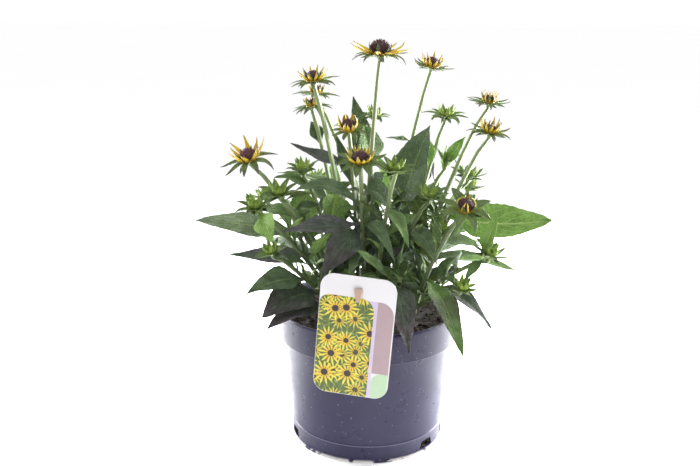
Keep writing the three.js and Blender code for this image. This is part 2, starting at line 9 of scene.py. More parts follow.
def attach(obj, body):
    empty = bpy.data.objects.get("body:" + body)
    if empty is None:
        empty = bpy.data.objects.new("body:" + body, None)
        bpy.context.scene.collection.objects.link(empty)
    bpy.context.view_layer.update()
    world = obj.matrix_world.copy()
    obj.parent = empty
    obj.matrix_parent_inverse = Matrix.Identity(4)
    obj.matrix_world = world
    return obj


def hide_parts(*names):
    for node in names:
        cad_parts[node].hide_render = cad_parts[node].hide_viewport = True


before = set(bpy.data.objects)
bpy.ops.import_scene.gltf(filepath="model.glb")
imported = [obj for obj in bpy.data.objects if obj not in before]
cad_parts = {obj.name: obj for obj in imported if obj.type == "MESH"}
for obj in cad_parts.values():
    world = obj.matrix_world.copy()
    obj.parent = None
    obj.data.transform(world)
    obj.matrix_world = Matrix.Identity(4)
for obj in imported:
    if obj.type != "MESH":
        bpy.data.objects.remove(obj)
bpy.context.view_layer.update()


# Nursery pot
# One thin blow-moulded plastic shell, slate grey and satin, with a stepped rim band, a
# base band over a fine seam, a foot flange and a row of drain slots cut through the base
# band. It is turned from one outline, and the slots are cut out of it.
MM = 0.001
POT_OUTLINE = [
    (0, 0), (72.6, 0), (73.3, 0.4), (73.4, 1.5), (72.4, 2.0), (71.4, 2.5), (71.5, 15.0),
    (71.65, 15.3), (71.5, 15.9), (70.9, 16.6), (70.8, 17.4), (74.8, 57.8), (78.7, 97.6),
    (79.2, 98.5), (82.0, 98.9), (82.6, 99.3), (82.8, 100.4), (84.85, 124.6), (84.9, 126.0),
    (84.4, 126.8), (83.4, 127.0), (82.3, 126.8), (81.9, 126.0), (80.8, 101.4), (80.2, 99.9),
    (77.5, 98.4), (77.0, 97.2), (69.1, 16.4), (68.9, 15.0), (68.5, 2.9), (67.8, 2.3), (0, 2.2),
]
POT_STEPS = 180
SEAM_HEIGHT = 0.0154
LEDGE_HEIGHT = 0.0989
SLOT_COUNT = 9
SLOT_STEP = math.radians(30)
SLOT_FIRST = math.radians(49)
SLOT_FOOT_WIDE = 18
SLOT_TOP_WIDE = 13
SLOT_THROUGH = 12
SLOT_HIGH = 7.5
SLOT_MIDDLE = (0, -68, 6.75)
SLOT_ROUNDING = 1.2


def colour(red, green, blue):
    """Colour as seen on a screen, 0 to 255, as the shader's linear value."""
    return tuple((c / 255) ** 2.2 for c in (red, green, blue)) + (1.0,)


def new_finish(name):
    """New material, its node tree and its main shader."""
    material = bpy.data.materials.new(name)
    material.use_nodes = True
    return material, material.node_tree, material.node_tree.nodes["Principled BSDF"]


def feed(tree, node, feeds):
    """Feeds the sockets of a node by links or plain values."""
    for socket, value in feeds.items():
        if isinstance(value, bpy.types.NodeSocket):
            tree.links.new(value, node.inputs[socket])
        else:
            node.inputs[socket].default_value = value


def add(tree, kind, feeds=None, **settings):
    """Node with its settings made and its sockets fed."""
    node = tree.nodes.new("ShaderNode" + kind)
    for key, value in settings.items():
        setattr(node, key, value)
    feed(tree, node, feeds or {})
    return node


def calc(tree, operation, first, second=0.0, third=0.0):
    """Result of one sum on two or three values."""
    return add(tree, "Math", {0: first, 1: second, 2: third}, operation=operation).outputs[0]


def times(tree, first, second):
    """Product of two values."""
    return calc(tree, "MULTIPLY", first, second)


def between(tree, value, low, high, start=0.0, end=1.0):
    """Value carried from the range low to high over to start to end."""
    feeds = {"Value": value, 1: low, 2: high, 3: start, 4: end}
    return add(tree, "MapRange", feeds, interpolation_type="SMOOTHSTEP").outputs[0]


def mix(tree, share, first, second, kind="MIX"):
    """Two colours mixed by a share."""
    feeds = {0: share, 6: first, 7: second}
    return add(tree, "Mix", feeds, data_type="RGBA", blend_type=kind).outputs[2]


def speckle(tree, place, scale, detail=2.0):
    """Cloudy noise from 0 to 1 at a place."""
    feeds = {"Vector": place, "Scale": scale, "Detail": detail}
    return add(tree, "TexNoise", feeds).outputs["Fac"]


def clouds(tree, place, scale, detail, low, high, start=0.0, end=1.0):
    """Cloudy patches: noise from low to high carried over to start to end."""
    return between(tree, speckle(tree, place, scale, detail), low, high, start, end)


def object_place(tree):
    """Place on the object, in metres."""
    return add(tree, "TexCoord").outputs["Object"]


def relief(tree, shader, height, distance, strength):
    """Bump on the shader from a height, over a distance in metres."""
    feeds = {"Height": height, "Distance": distance, "Strength": strength}
    feed(tree, shader, {"Normal": add(tree, "Bump", feeds).outputs[0]})


def finish_piece(name, bm, finishes, slot_name, nodes=(), smooth=40):
    """Mesh object from millimetres, on the frame, with its finish and the nodes it stands for."""
    bmesh.ops.scale(bm, vec=(MM, MM, MM), verts=bm.verts)
    mesh = bpy.data.meshes.new(name)
    bm.to_mesh(mesh)
    bm.free()
    piece = bpy.data.objects.new(name, mesh)
    bpy.context.scene.collection.objects.link(piece)
    for material in finishes:
        mesh.materials.append(material)
    mesh.shade_smooth()
    mesh.set_sharp_from_angle(angle=math.radians(smooth))
    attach(piece, "root")
    if nodes:
        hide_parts(*nodes)
    return piece


def turned(outline, steps):
    """Closed shell spun from an outline of radius and height about the pot's axis."""
    bm = bmesh.new()
    points = [bm.verts.new((r, 0, z)) for r, z in outline]
    edges = [bm.edges.new(pair) for pair in zip(points, points[1:])]
    bmesh.ops.spin(bm, geom=points + edges, axis=(0, 0, 1), cent=(0, 0, 0), angle=2 * math.pi,
                   steps=steps, use_merge=True, use_duplicate=False)
    bmesh.ops.remove_doubles(bm, verts=bm.verts, dist=1e-4)
    bmesh.ops.recalc_face_normals(bm, faces=bm.faces)
    return bm


def joined(target, part):
    """Adds a small bmesh to the bmesh that gathers a piece."""
    mesh = bpy.data.meshes.new("part")
    part.to_mesh(mesh)
    part.free()
    target.from_mesh(mesh)
    bpy.data.meshes.remove(mesh)


def carve(piece, bm):
    """Cuts the solids of a bmesh, in millimetres, out of a piece."""
    bmesh.ops.scale(bm, vec=(MM, MM, MM), verts=bm.verts)
    mesh = bpy.data.meshes.new("cut")
    bm.to_mesh(mesh)
    bm.free()
    tool = bpy.data.objects.new("cut", mesh)
    bpy.context.scene.collection.objects.link(tool)
    cut = piece.modifiers.new("cut", "BOOLEAN")
    cut.object = tool
    cut.solver = "EXACT"
    depsgraph = bpy.context.evaluated_depsgraph_get()
    carved = bpy.data.meshes.new_from_object(piece.evaluated_get(depsgraph))
    piece.modifiers.clear()
    piece.data = carved
    bpy.data.objects.remove(tool)


pot_finish, tree, shader = new_finish("pot_plastic")
place = object_place(tree)
height = add(tree, "SeparateXYZ", {0: place}).outputs["Z"]
base = mix(tree, speckle(tree, place, 55, 4), colour(45, 43, 64), colour(55, 53, 76))
# Painted shade: the upper body is painted darker, and the rim band above the ledge darker still
base = mix(tree, between(tree, height, 0.03, 0.09, 0, 0.34), base, colour(38, 36, 54))
base = mix(tree, between(tree, height, 0.0982, 0.0992, 0, 0.4), base, colour(38, 36, 54))
dust_cells = add(tree, "TexVoronoi", {"Vector": place, "Scale": 270.0})
dust = between(tree, dust_cells.outputs["Distance"], 0.06, 0.11, 1, 0)
dust = times(tree, dust, clouds(tree, place, 140, 2, 0.44, 0.56))
base = mix(tree, times(tree, dust, 0.55), base, colour(205, 205, 215))
soil_cells = add(tree, "TexVoronoi", {"Vector": place, "Scale": 95.0})
soiled = between(tree, soil_cells.outputs["Distance"], 0.03, 0.07, 1, 0)
low_down = between(tree, height, 0.002, 0.04, 1, 0.05)
soiled = times(tree, soiled, clouds(tree, place, 60, 2, 0.56, 0.72))
base = mix(tree, times(tree, soiled, low_down), base, colour(38, 26, 22))
# Painted highlight: a thin pale line along the seam and along the rim's ledge
for line, reach in ((SEAM_HEIGHT, 0.0004), (LEDGE_HEIGHT, 0.0005)):
    on_line = calc(tree, "COMPARE", height, line, reach)
    base = mix(tree, times(tree, on_line, 0.3), base, colour(150, 150, 168))
# Painted highlight: a pale band along the lowest edge of the foot, broken into patches
foot_highlight = between(tree, height, 0.0028, 0.0012)
foot_highlight = times(tree, foot_highlight, clouds(tree, place, 90, 2, 0.42, 0.5))
base = mix(tree, times(tree, foot_highlight, 0.9), base, colour(212, 208, 206))
rough = clouds(tree, place, 80, 4, 0.3, 0.7, 0.27, 0.37)
feed(tree, shader, {"Base Color": base, "Roughness": rough, "Specular IOR Level": 0.22})
relief(tree, shader, speckle(tree, place, 900, 3), 0.0002, 0.25)

pot = finish_piece("pot_shell", turned(POT_OUTLINE, POT_STEPS), [pot_finish], "pot_plastic",
                   ["pot"])
slots = bmesh.new()
for index in range(SLOT_COUNT):
    block = bmesh.new()
    bmesh.ops.create_cube(block, size=1)
    bmesh.ops.scale(block, vec=(SLOT_FOOT_WIDE, SLOT_THROUGH, SLOT_HIGH), verts=block.verts)
    for corner in block.verts:
        if corner.co.z > 0:
            corner.co.x *= SLOT_TOP_WIDE / SLOT_FOOT_WIDE
    through = [e for e in block.edges if abs(e.verts[0].co.y - e.verts[1].co.y) > 1]
    bmesh.ops.bevel(block, geom=through, offset=SLOT_ROUNDING, segments=3, profile=0.5,
                    affect="EDGES", material=-1)
    bmesh.ops.translate(block, vec=SLOT_MIDDLE, verts=block.verts)
    turn = Matrix.Rotation(SLOT_FIRST + index * SLOT_STEP, 4, "Z")
    bmesh.ops.transform(block, matrix=turn, verts=block.verts)
    joined(slots, block)
carve(pot, slots)


# Compost
# A moist dark peat mix that fills the pot to a finger's width under the rim, level but
# crumbly, with loose crumbs and pale fibres on top and showing in the drain slots. It is
# one filled body with its top broken up, and the crumbs lie on it.
COMPOST_LEVEL = 117.3
COMPOST_REACH = 80.6
COMPOST_SIDE = [(80.2, 113), (79.9, 101.8), (76.2, 98), (68.3, 15.8), (67.6, 2.6), (0, 2.6)]
COMPOST_RINGS = 56
COMPOST_STEPS = 150
CRUMBS = 1100
CRUMB_REACH = 79.5
CRUMBS_A_SLOT = 7
SLOT_CRUMB_REACH = 69.3
FIBRES = 170
FIBRE_REACH = 76


def draw(a, b):
    """Repeatable draw between 0 and 1 from two whole numbers."""
    value = math.sin(a * 12.9898 + b * 78.233) * 43758.5453
    return value - math.floor(value)


def compost_height(x, y):
    """Height of the crumbly top at a place."""
    lumps = 1.9 * noise.noise(Vector((x, y, 3)) / 17)
    clods = 1.1 * noise.noise(Vector((x, y, 9)) / 5)
    grains = 0.5 * noise.noise(Vector((x, y, 5)) / 1.8)
    edge = -2.2 * max(0.0, math.hypot(x, y) / COMPOST_REACH - 0.9) * 10
    return COMPOST_LEVEL + lumps + clods + grains + edge


def scattered(index, turn, reach):
    """Place on the compost's top, drawn evenly inside a reach."""
    out = reach * math.sqrt(draw(index, turn))
    angle = 2 * math.pi * draw(index, turn + 1)
    x, y = out * math.cos(angle), out * math.sin(angle)
    return x, y, compost_height(x, y)


compost_finish, tree, shader = new_finish("compost")
place = object_place(tree)
base = mix(tree, speckle(tree, place, 420, 5), colour(20, 17, 17), colour(52, 43, 39))
base = mix(tree, clouds(tree, place, 1500, 3, 0.62, 0.75, 0, 0.5), base, colour(96, 84, 74))
feed(tree, shader, {"Base Color": base, "Roughness": 0.92, "Specular IOR Level": 0.25})
relief(tree, shader, speckle(tree, place, 900, 6), 0.0012, 0.9)


def cloudy_finish(name, first, second, scale, rough):
    """Plain finish whose colour drifts between two tones in clouds of one scale."""
    material, tree, shader = new_finish(name)
    base = mix(tree, speckle(tree, object_place(tree), scale), first, second)
    feed(tree, shader, {"Base Color": base, "Roughness": rough})
    return material


fibre_finish = cloudy_finish("compost_fibre", colour(70, 48, 34), colour(134, 104, 78), 120, 0.85)

top = [(COMPOST_REACH * k / COMPOST_RINGS, COMPOST_LEVEL) for k in range(COMPOST_RINGS + 1)]
body = turned(top + COMPOST_SIDE, COMPOST_STEPS)
for grain in body.verts:
    if grain.co.z > COMPOST_LEVEL - 1:
        grain.co.z = compost_height(grain.co.x, grain.co.y)
finish_piece("compost_fill", body, [compost_finish], "compost", ["soil"], smooth=180)

crumbs = bmesh.new()
for index in range(CRUMBS):
    size = 0.5 + 1.9 * draw(index, 3) ** 3
    crumb = bmesh.new()
    bmesh.ops.create_icosphere(crumb, subdivisions=1, radius=size)
    for corner in crumb.verts:
        corner.co *= 0.75 + 0.5 * draw(index, 7 + corner.index)
    bmesh.ops.scale(crumb, vec=(1, 0.8, 0.7), verts=crumb.verts)
    bmesh.ops.rotate(crumb, cent=(0, 0, 0), matrix=Matrix.Rotation(6 * draw(index, 4), 3, "Z"),
                     verts=crumb.verts)
    x, y, top = scattered(index, 1, CRUMB_REACH)
    bmesh.ops.translate(crumb, vec=(x, y, top + 0.25 * size), verts=crumb.verts)
    joined(crumbs, crumb)
for index in range(SLOT_COUNT * CRUMBS_A_SLOT):
    aside = 0.2 * (draw(index, 5) - 0.5)
    angle = SLOT_FIRST - math.pi / 2 + (index % SLOT_COUNT) * SLOT_STEP + aside
    size = 0.5 + 0.9 * draw(index, 6)
    crumb = bmesh.new()
    bmesh.ops.create_icosphere(crumb, subdivisions=1, radius=size)
    reach = SLOT_CRUMB_REACH + 1.2 * draw(index, 8)
    spot = (reach * math.cos(angle), reach * math.sin(angle), 3 + size + 5 * draw(index, 9) ** 2)
    bmesh.ops.translate(crumb, vec=spot, verts=crumb.verts)
    joined(crumbs, crumb)
finish_piece("compost_crumbs", crumbs, [compost_finish], "compost")

fibres = bmesh.new()
for index in range(FIBRES):
    fibre = bmesh.new()
    bmesh.ops.create_cone(fibre, cap_ends=True, segments=4, radius1=0.28, radius2=0.12,
                          depth=3 + 7 * draw(index, 13))
    lean = Matrix.Rotation(math.radians(72 + 24 * draw(index, 14)), 3, "X")
    yaw = Matrix.Rotation(6.28 * draw(index, 15), 3, "Z")
    bmesh.ops.rotate(fibre, cent=(0, 0, 0), matrix=yaw @ lean, verts=fibre.verts)
    x, y, top = scattered(index, 11, FIBRE_REACH)
    bmesh.ops.translate(fibre, vec=(x, y, top + 0.5), verts=fibre.verts)
    joined(fibres, fibre)
finish_piece("compost_fibres", fibres, [fibre_finish], "compost")


# Plant label
# A rounded card of printed white plastic that leans on the rim in front. Its head is
# bare, its picture is a field of yellow daisies, and a bare mauve band runs down its
# right side. The print lies on the card as thin patches with rounded corners.
CARD_WIDE = 65
CARD_HIGH = 108.5
CARD_THICK = 0.8
CARD_ROUNDING = 12
CARD_PLACE = (Matrix.Translation((-13, -86.5, 128))
              @ Matrix.Rotation(math.radians(-9.5), 4, "Z")
              @ Matrix.Rotation(math.radians(4.5), 4, "Y")
              @ Matrix.Rotation(math.radians(90), 4, "X"))
NECK_HOLE = (3.7, 9, 2.7)
NECK_HOLE_MIDDLE = (-10.3, -87, 161)
INK_THICK = 0.06
INK_LIFT = 0.01
INK_HALF_WIDE = 32.2
INK_FOOT = -53.9
INK_ROUNDING = 11.7


def patch(left, right, low, high, corners, thick, lift):
    """Flat plate with a radius for each corner, in the card's own plane."""
    bm = bmesh.new()
    bmesh.ops.create_grid(bm, x_segments=1, y_segments=1, size=0.5)
    bmesh.ops.scale(bm, vec=(right - left, high - low, 1), verts=bm.verts)
    bmesh.ops.translate(bm, vec=((left + right) / 2, (low + high) / 2, lift), verts=bm.verts)
    middle = Vector(((left + right) / 2, (low + high) / 2, 0))
    turns = {(1, 1): 0, (-1, 1): 1, (-1, -1): 2, (1, -1): 3}
    for corner in list(bm.verts):
        side = (1 if corner.co.x > middle.x else -1, 1 if corner.co.y > middle.y else -1)
        radius = corners[turns[side]]
        if radius:
            bmesh.ops.bevel(bm, geom=[corner], offset=radius, segments=10, profile=0.5,
                            affect="VERTICES", material=-1)
    up = bmesh.ops.extrude_face_region(bm, geom=bm.faces[:])["geom"]
    raised = [g for g in up if isinstance(g, bmesh.types.BMVert)]
    bmesh.ops.translate(bm, vec=(0, 0, thick), verts=raised)
    bmesh.ops.recalc_face_normals(bm, faces=bm.faces)
    return bm


card_finish = cloudy_finish("printed_card", colour(189, 187, 190), colour(196, 194, 198), 60, 0.32)
card = patch(-CARD_WIDE / 2, CARD_WIDE / 2, -CARD_HIGH / 2, CARD_HIGH / 2, [CARD_ROUNDING] * 4,
             CARD_THICK, 0)
bmesh.ops.transform(card, matrix=CARD_PLACE, verts=card.verts)
card = finish_piece("label_board", card, [card_finish], "printed_card", ["label_card"])
neck_hole = bmesh.new()
bmesh.ops.create_cube(neck_hole, size=1)
bmesh.ops.scale(neck_hole, vec=NECK_HOLE, verts=neck_hole.verts)
bmesh.ops.translate(neck_hole, vec=NECK_HOLE_MIDDLE, verts=neck_hole.verts)
carve(card, neck_hole)


def ink(name, *tones):
    """Flat print in one cloudy colour."""
    return cloudy_finish(name, *(colour(*t) for t in tones), 160, 0.35)


def daisies(tree, place, shift, scale):
    """Petal and heart masks of flowers that lie one to a cell in a flat field."""
    moved = add(tree, "VectorMath", {0: place, 1: shift}, operation="ADD").outputs[0]
    cells = add(tree, "TexVoronoi", {"Vector": moved, "Scale": scale, "Randomness": 0.72},
                voronoi_dimensions="2D")
    away = add(tree, "VectorMath", {0: moved, 1: cells.outputs["Position"]}, operation="SUBTRACT")
    part = add(tree, "SeparateXYZ", {0: away.outputs[0]})
    spin = add(tree, "SeparateColor", {0: cells.outputs["Color"]})
    angle = calc(tree, "ARCTAN2", part.outputs["Y"], part.outputs["X"])
    angle = calc(tree, "ADD", angle, times(tree, spin.outputs[0], 6.28))
    wave = calc(tree, "ABSOLUTE", calc(tree, "SINE", times(tree, angle, 6.5)))
    size = between(tree, spin.outputs[1], 0, 1, 0.46, 0.62)
    share = calc(tree, "DIVIDE", cells.outputs["Distance"], size)
    width = between(tree, share, 0.15, 1.0, 0.42, 1.02)
    petal = between(tree, calc(tree, "SUBTRACT", wave, width), -0.06, 0.06)
    heart = between(tree, share, 0.21, 0.26, 1, 0)
    return petal, heart, share


picture_finish, tree, shader = new_finish("daisy_picture")
laid_flat = {"Vector": object_place(tree), "Rotation": (math.radians(-90), 0, 0)}
field = add(tree, "Mapping", laid_flat).outputs[0]
base = mix(tree, speckle(tree, field, 240, 3), colour(22, 34, 18), colour(84, 106, 48))
base = mix(tree, clouds(tree, field, 150, 2, 0.58, 0.68, 0, 0.6), base, colour(126, 146, 84))
for shift, scale, dim in (((0.031, 0.017, 0), 58.0, 0.2), ((0.0, 0.004, 0), 48.0, 0.0)):
    petal, heart, share = daisies(tree, field, shift, scale)
    yellow = mix(tree, between(tree, share, 0.25, 0.8), colour(192, 154, 36), colour(200, 188, 62))
    base = mix(tree, petal, base, yellow)
    base = mix(tree, heart, base, colour(38, 16, 18))
    base = mix(tree, dim, base, colour(70, 96, 40))
feed(tree, shader, {"Base Color": base, "Roughness": 0.3})

prints = bmesh.new()
# Left, right, foot and top, then the corners' radii, the ink and how many layers thick
ink_patches = [
    (-INK_HALF_WIDE, 14.6, INK_FOOT, 35.4, (12, 8, 0, 0), 0, 1.6),
    (17.4, 31.6, -31.0, 34.0, (12, 0, 0, 0), 1, 1.0),
    (6.0, 17.3, INK_FOOT, 34.0, (0, 0, 0, 0), 2, 1.0),
    (17.4, 31.6, INK_FOOT, -31.1, (0, 8, 0, 0), 3, 1.0),
]
for left, right, low, high, corners, tone, layers in ink_patches:
    part = patch(left, right, low, high, corners, layers * INK_THICK, CARD_THICK + INK_LIFT)
    for face in part.faces:
        face.material_index = tone
    joined(prints, part)
# The two lower corners of the print are planed round, to follow the card's own
for turn in range(0, 91, 15):
    for side in (-1, 1):
        a = math.radians(turn)
        out = Vector((side * math.cos(a), -math.sin(a), 0))
        centre = Vector((side * (INK_HALF_WIDE - INK_ROUNDING), INK_FOOT + INK_ROUNDING, 0))
        everything = prints.verts[:] + prints.edges[:] + prints.faces[:]
        cut = bmesh.ops.bisect_plane(prints, geom=everything, plane_co=centre + INK_ROUNDING * out,
                                     plane_no=out, clear_outer=True)
        rim = [g for g in cut["geom_cut"] if isinstance(g, bmesh.types.BMEdge)]
        bmesh.ops.holes_fill(prints, edges=rim, sides=0)
bmesh.ops.transform(prints, matrix=CARD_PLACE, verts=prints.verts)
finish_piece("label_print", prints, [
    picture_finish, ink("mauve_ink", (141, 121, 125), (149, 130, 134)),
    ink("lilac_ink", (170, 156, 184), (178, 164, 190)),
    ink("pale_green_ink", (150, 172, 142), (158, 180, 150)),
], "printed_card")


# Label stake
# A flat peg of tan translucent plastic, as its node is, with its edges softened. Its
# tapered head stands in front of the card, its neck goes through the card's slot and its
# shaft runs down behind it into the compost.
stake_finish = cloudy_finish("stake_plastic", colour(150, 122, 104), colour(162, 134, 116), 200,
                             0.35)
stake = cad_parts["label_stake"]
stake.data.materials.clear()
stake.data.materials.append(stake_finish)
soften = stake.modifiers.new("soft_edges", "BEVEL")
soften.width = 0.00025
soften.segments = 2
soften.limit_method = "ANGLE"


# Stems, leaves and bracts
# Hairy green stems, each with pointed leaves that arch out and twist to the light, and
# under its head a whorl of narrow green bracts. A living stem and all that grows on it
# is one piece. Stems are rolled from a grid, blades are grids bent to their place.
SOIL_TOP = 120
STEM_ROOT = 107
STEM_ROWS = 22
STEM_SIDES = 10
STEM_FOOT = 2.1
STEM_TOP = 1.9
RECEPTACLE_SHARE = 0.62
LEAF_THICK = 0.4
PETAL_THICK = 0.35
TEETH = 12
TOOTH_DEEP = 0.055
UP = Vector((0, 0, 1))
# The two screen colours that a leaf drifts between, and how far its veins stand out pale
LEAF_TONES = {
    "fresh": ((142, 179, 93), (117, 155, 80), 0.85),
    "spring": ((136, 164, 89), (115, 144, 80), 0.6),
    "mid": ((122, 148, 93), (105, 130, 82), 0.34),
    "deep": ((105, 124, 91), (86, 105, 78), 0.26),
    "olive": ((115, 132, 78), (99, 113, 68), 0.28),
    "dark": ((80, 91, 78), (84, 73, 82), 0.1),
    "dusk": ((101, 115, 101), (115, 105, 120), 0.12),
    "grey": ((157, 175, 138), (140, 153, 128), 0.35),
    "pale": ((169, 190, 146), (151, 171, 132), 0.45),
    "patch": ((109, 138, 80), (73, 60, 64), 0.3),
}
VEINS = 7.0
VEIN_LEAN = 2.8
# Half widths along a blade: the one broad young leaf, large leaves, small leaves, bracts
BROAD_BLADE = [(0, 0.09), (0.17, 0.2), (0.32, 0.84), (0.47, 1), (0.64, 0.9), (0.8, 0.62),
               (0.92, 0.3), (1, 0.02)]
LARGE_BLADE = [(0, 0.09), (0.17, 0.16), (0.32, 0.82), (0.47, 1), (0.62, 0.84), (0.8, 0.5),
               (1, 0.02)]
SMALL_BLADE = [(0, 0.12), (0.22, 0.4), (0.45, 1), (0.72, 0.66), (1, 0.03)]
BRACT_OUTLINE = [(0, 0.75), (0.18, 0.9), (0.36, 1), (0.72, 0.62), (1, 0.03)]

# Name, head, foot, tilt, cone radius and height, then rays and bracts by count, length,
# first and last slope and width, then leaves by share of height, tip, width, arch, roll, tone
BLOOMS = [
    ("bloom_01", (8, 5, 356), (-5, 4), (0.03, -0.04), (9, 11), (8, 20, 8, 30, 4.4),
     (10, 24, 12, -22, 3.6),
     [(0.3, -8, -12, 244, 16, 4, -60, "mid"), (0.42, 13, -12, 254, 30, 4, 60, "deep"),
      (0.18, 13, -8, 204, 22, 2, 60, "dark")]),
    ("bloom_02", (55, 25, 343), (15, 14), (0.16, -0.08), (5.8, 7.5), (10, 12, 35, 84, 2.9),
     (10, 18, 8, 4, 3.2),
     [(0.37, 53, 0, 294, 41, 6, 74, "deep"), (0.5, 53, -2, 202, 20, 12, 40, "olive"),
      (0.7, 15, 12, 281, 8, 1, 30, "grey")]),
    ("bloom_03", (-50, 0, 333), (-14, 2), (-0.1, -0.12), (5.8, 7.5), (10, 12, 34, 74, 2.9),
     (10, 21, 10, -6, 3.5),
     [(0.54, -37, -16, 193, 27, 10, -60, "spring")]),
    ("bloom_04", (-50, 64, 313), (14, 24), (0.06, 0.05), (5, 6), (8, 9, 38, 84, 2.8),
     (9, 20, 12, -8, 3.5),
     [(0.5, -88, 66, 236, 20, 12, 0, "mid")]),
    ("bloom_05", (-53, 30, 306), (-19, 11), (-0.15, 0), (4.4, 5), (8, 8, 44, 112, 2.6),
     (9, 20, 16, -34, 3.7),
     [(0.8, -54, 36, 291, 13, 6, -40, "deep"), (0.5, -76, 34, 238, 17, 8, -20, "deep")]),
    ("bloom_06", (-19, 15, 288), (-8, 11), (-0.08, -0.4), (6.3, 8), (9, 12, 52, 114, 3.4),
     (9, 17, 16, -22, 3.8),
     [(0.8, -72, 19, 274, 14, -4, -34, "dusk"), (0.5, -16, 24, 262, 16, 0, 60, "mid"),
      (0.52, -33, 8, 210, 10, 5, -30, "mid"), (0.66, -31, 22, 282, 12, 3, -50, "deep")]),
    ("bloom_07", (-9, -40, 270), (-4, -12), (-0.02, -0.34), (6.8, 7.5), (11, 11, 28, 92, 3.2),
     (9, 21, 8, -20, 6.2),
     [(0.56, -41, -84, 181, 27, 12, -40, "dark"), (0.7, -63, -50, 247, 18, 22, -34, "deep"),
      (0.6, -76, -54, 211, 22, 2, -26, "dusk"), (0.58, 20, -80, 193, 13, 26, 20, "deep"),
      (0.5, -18, -78, 177, 11, 6, 0, "deep"), (0.78, 21, -32, 218, 24, 24, 30, "deep")]),
    ("bloom_08", (-106, -20, 267), (-27, -4), (-0.24, -0.26), (7.2, 8.5), (9, 18, 30, 74, 4.2),
     (9, 23, 14, -48, 4.5),
     [(0.5, -157, -5, 207, 25, 6, -48, "grey"), (0.38, -128, -8, 176, 19, -2, -40, "dusk"),
      (0.62, -102, 8, 214, 15, 8, -30, "mid")]),
    ("bloom_09", (107, 19, 312), (39, 0), (0.1, -0.04), (4.8, 5.5), (10, 12, 34, 150, 2.2),
     (10, 21, 11, -1, 3.5),
     [(0.32, 77, 3, 214, 18, 8, 44, "mid"), (0.5, 86, 2, 212, 16, 6, 30, "olive")]),
    ("bloom_10", (105, -10, 290), (43, -6), (0.12, -0.14), (4.8, 5.5), (11, 12, 28, 94, 2.8),
     (10, 21, 12, -5, 4),
     [(0.54, 80, -38, 250, 15, 4, 40, "mid"), (0.4, 101, -12, 186, 15, 8, 34, "grey")]),
    ("bloom_11", (80, -60, 234), (40, -24), (0.1, -0.5), (6.6, 7.5), (7, 13, 52, 150, 2.3),
     (8, 25, 5, 2, 7.5),
     [(0.36, 78, -100, 116, 24, 24, 0, "patch")]),
]

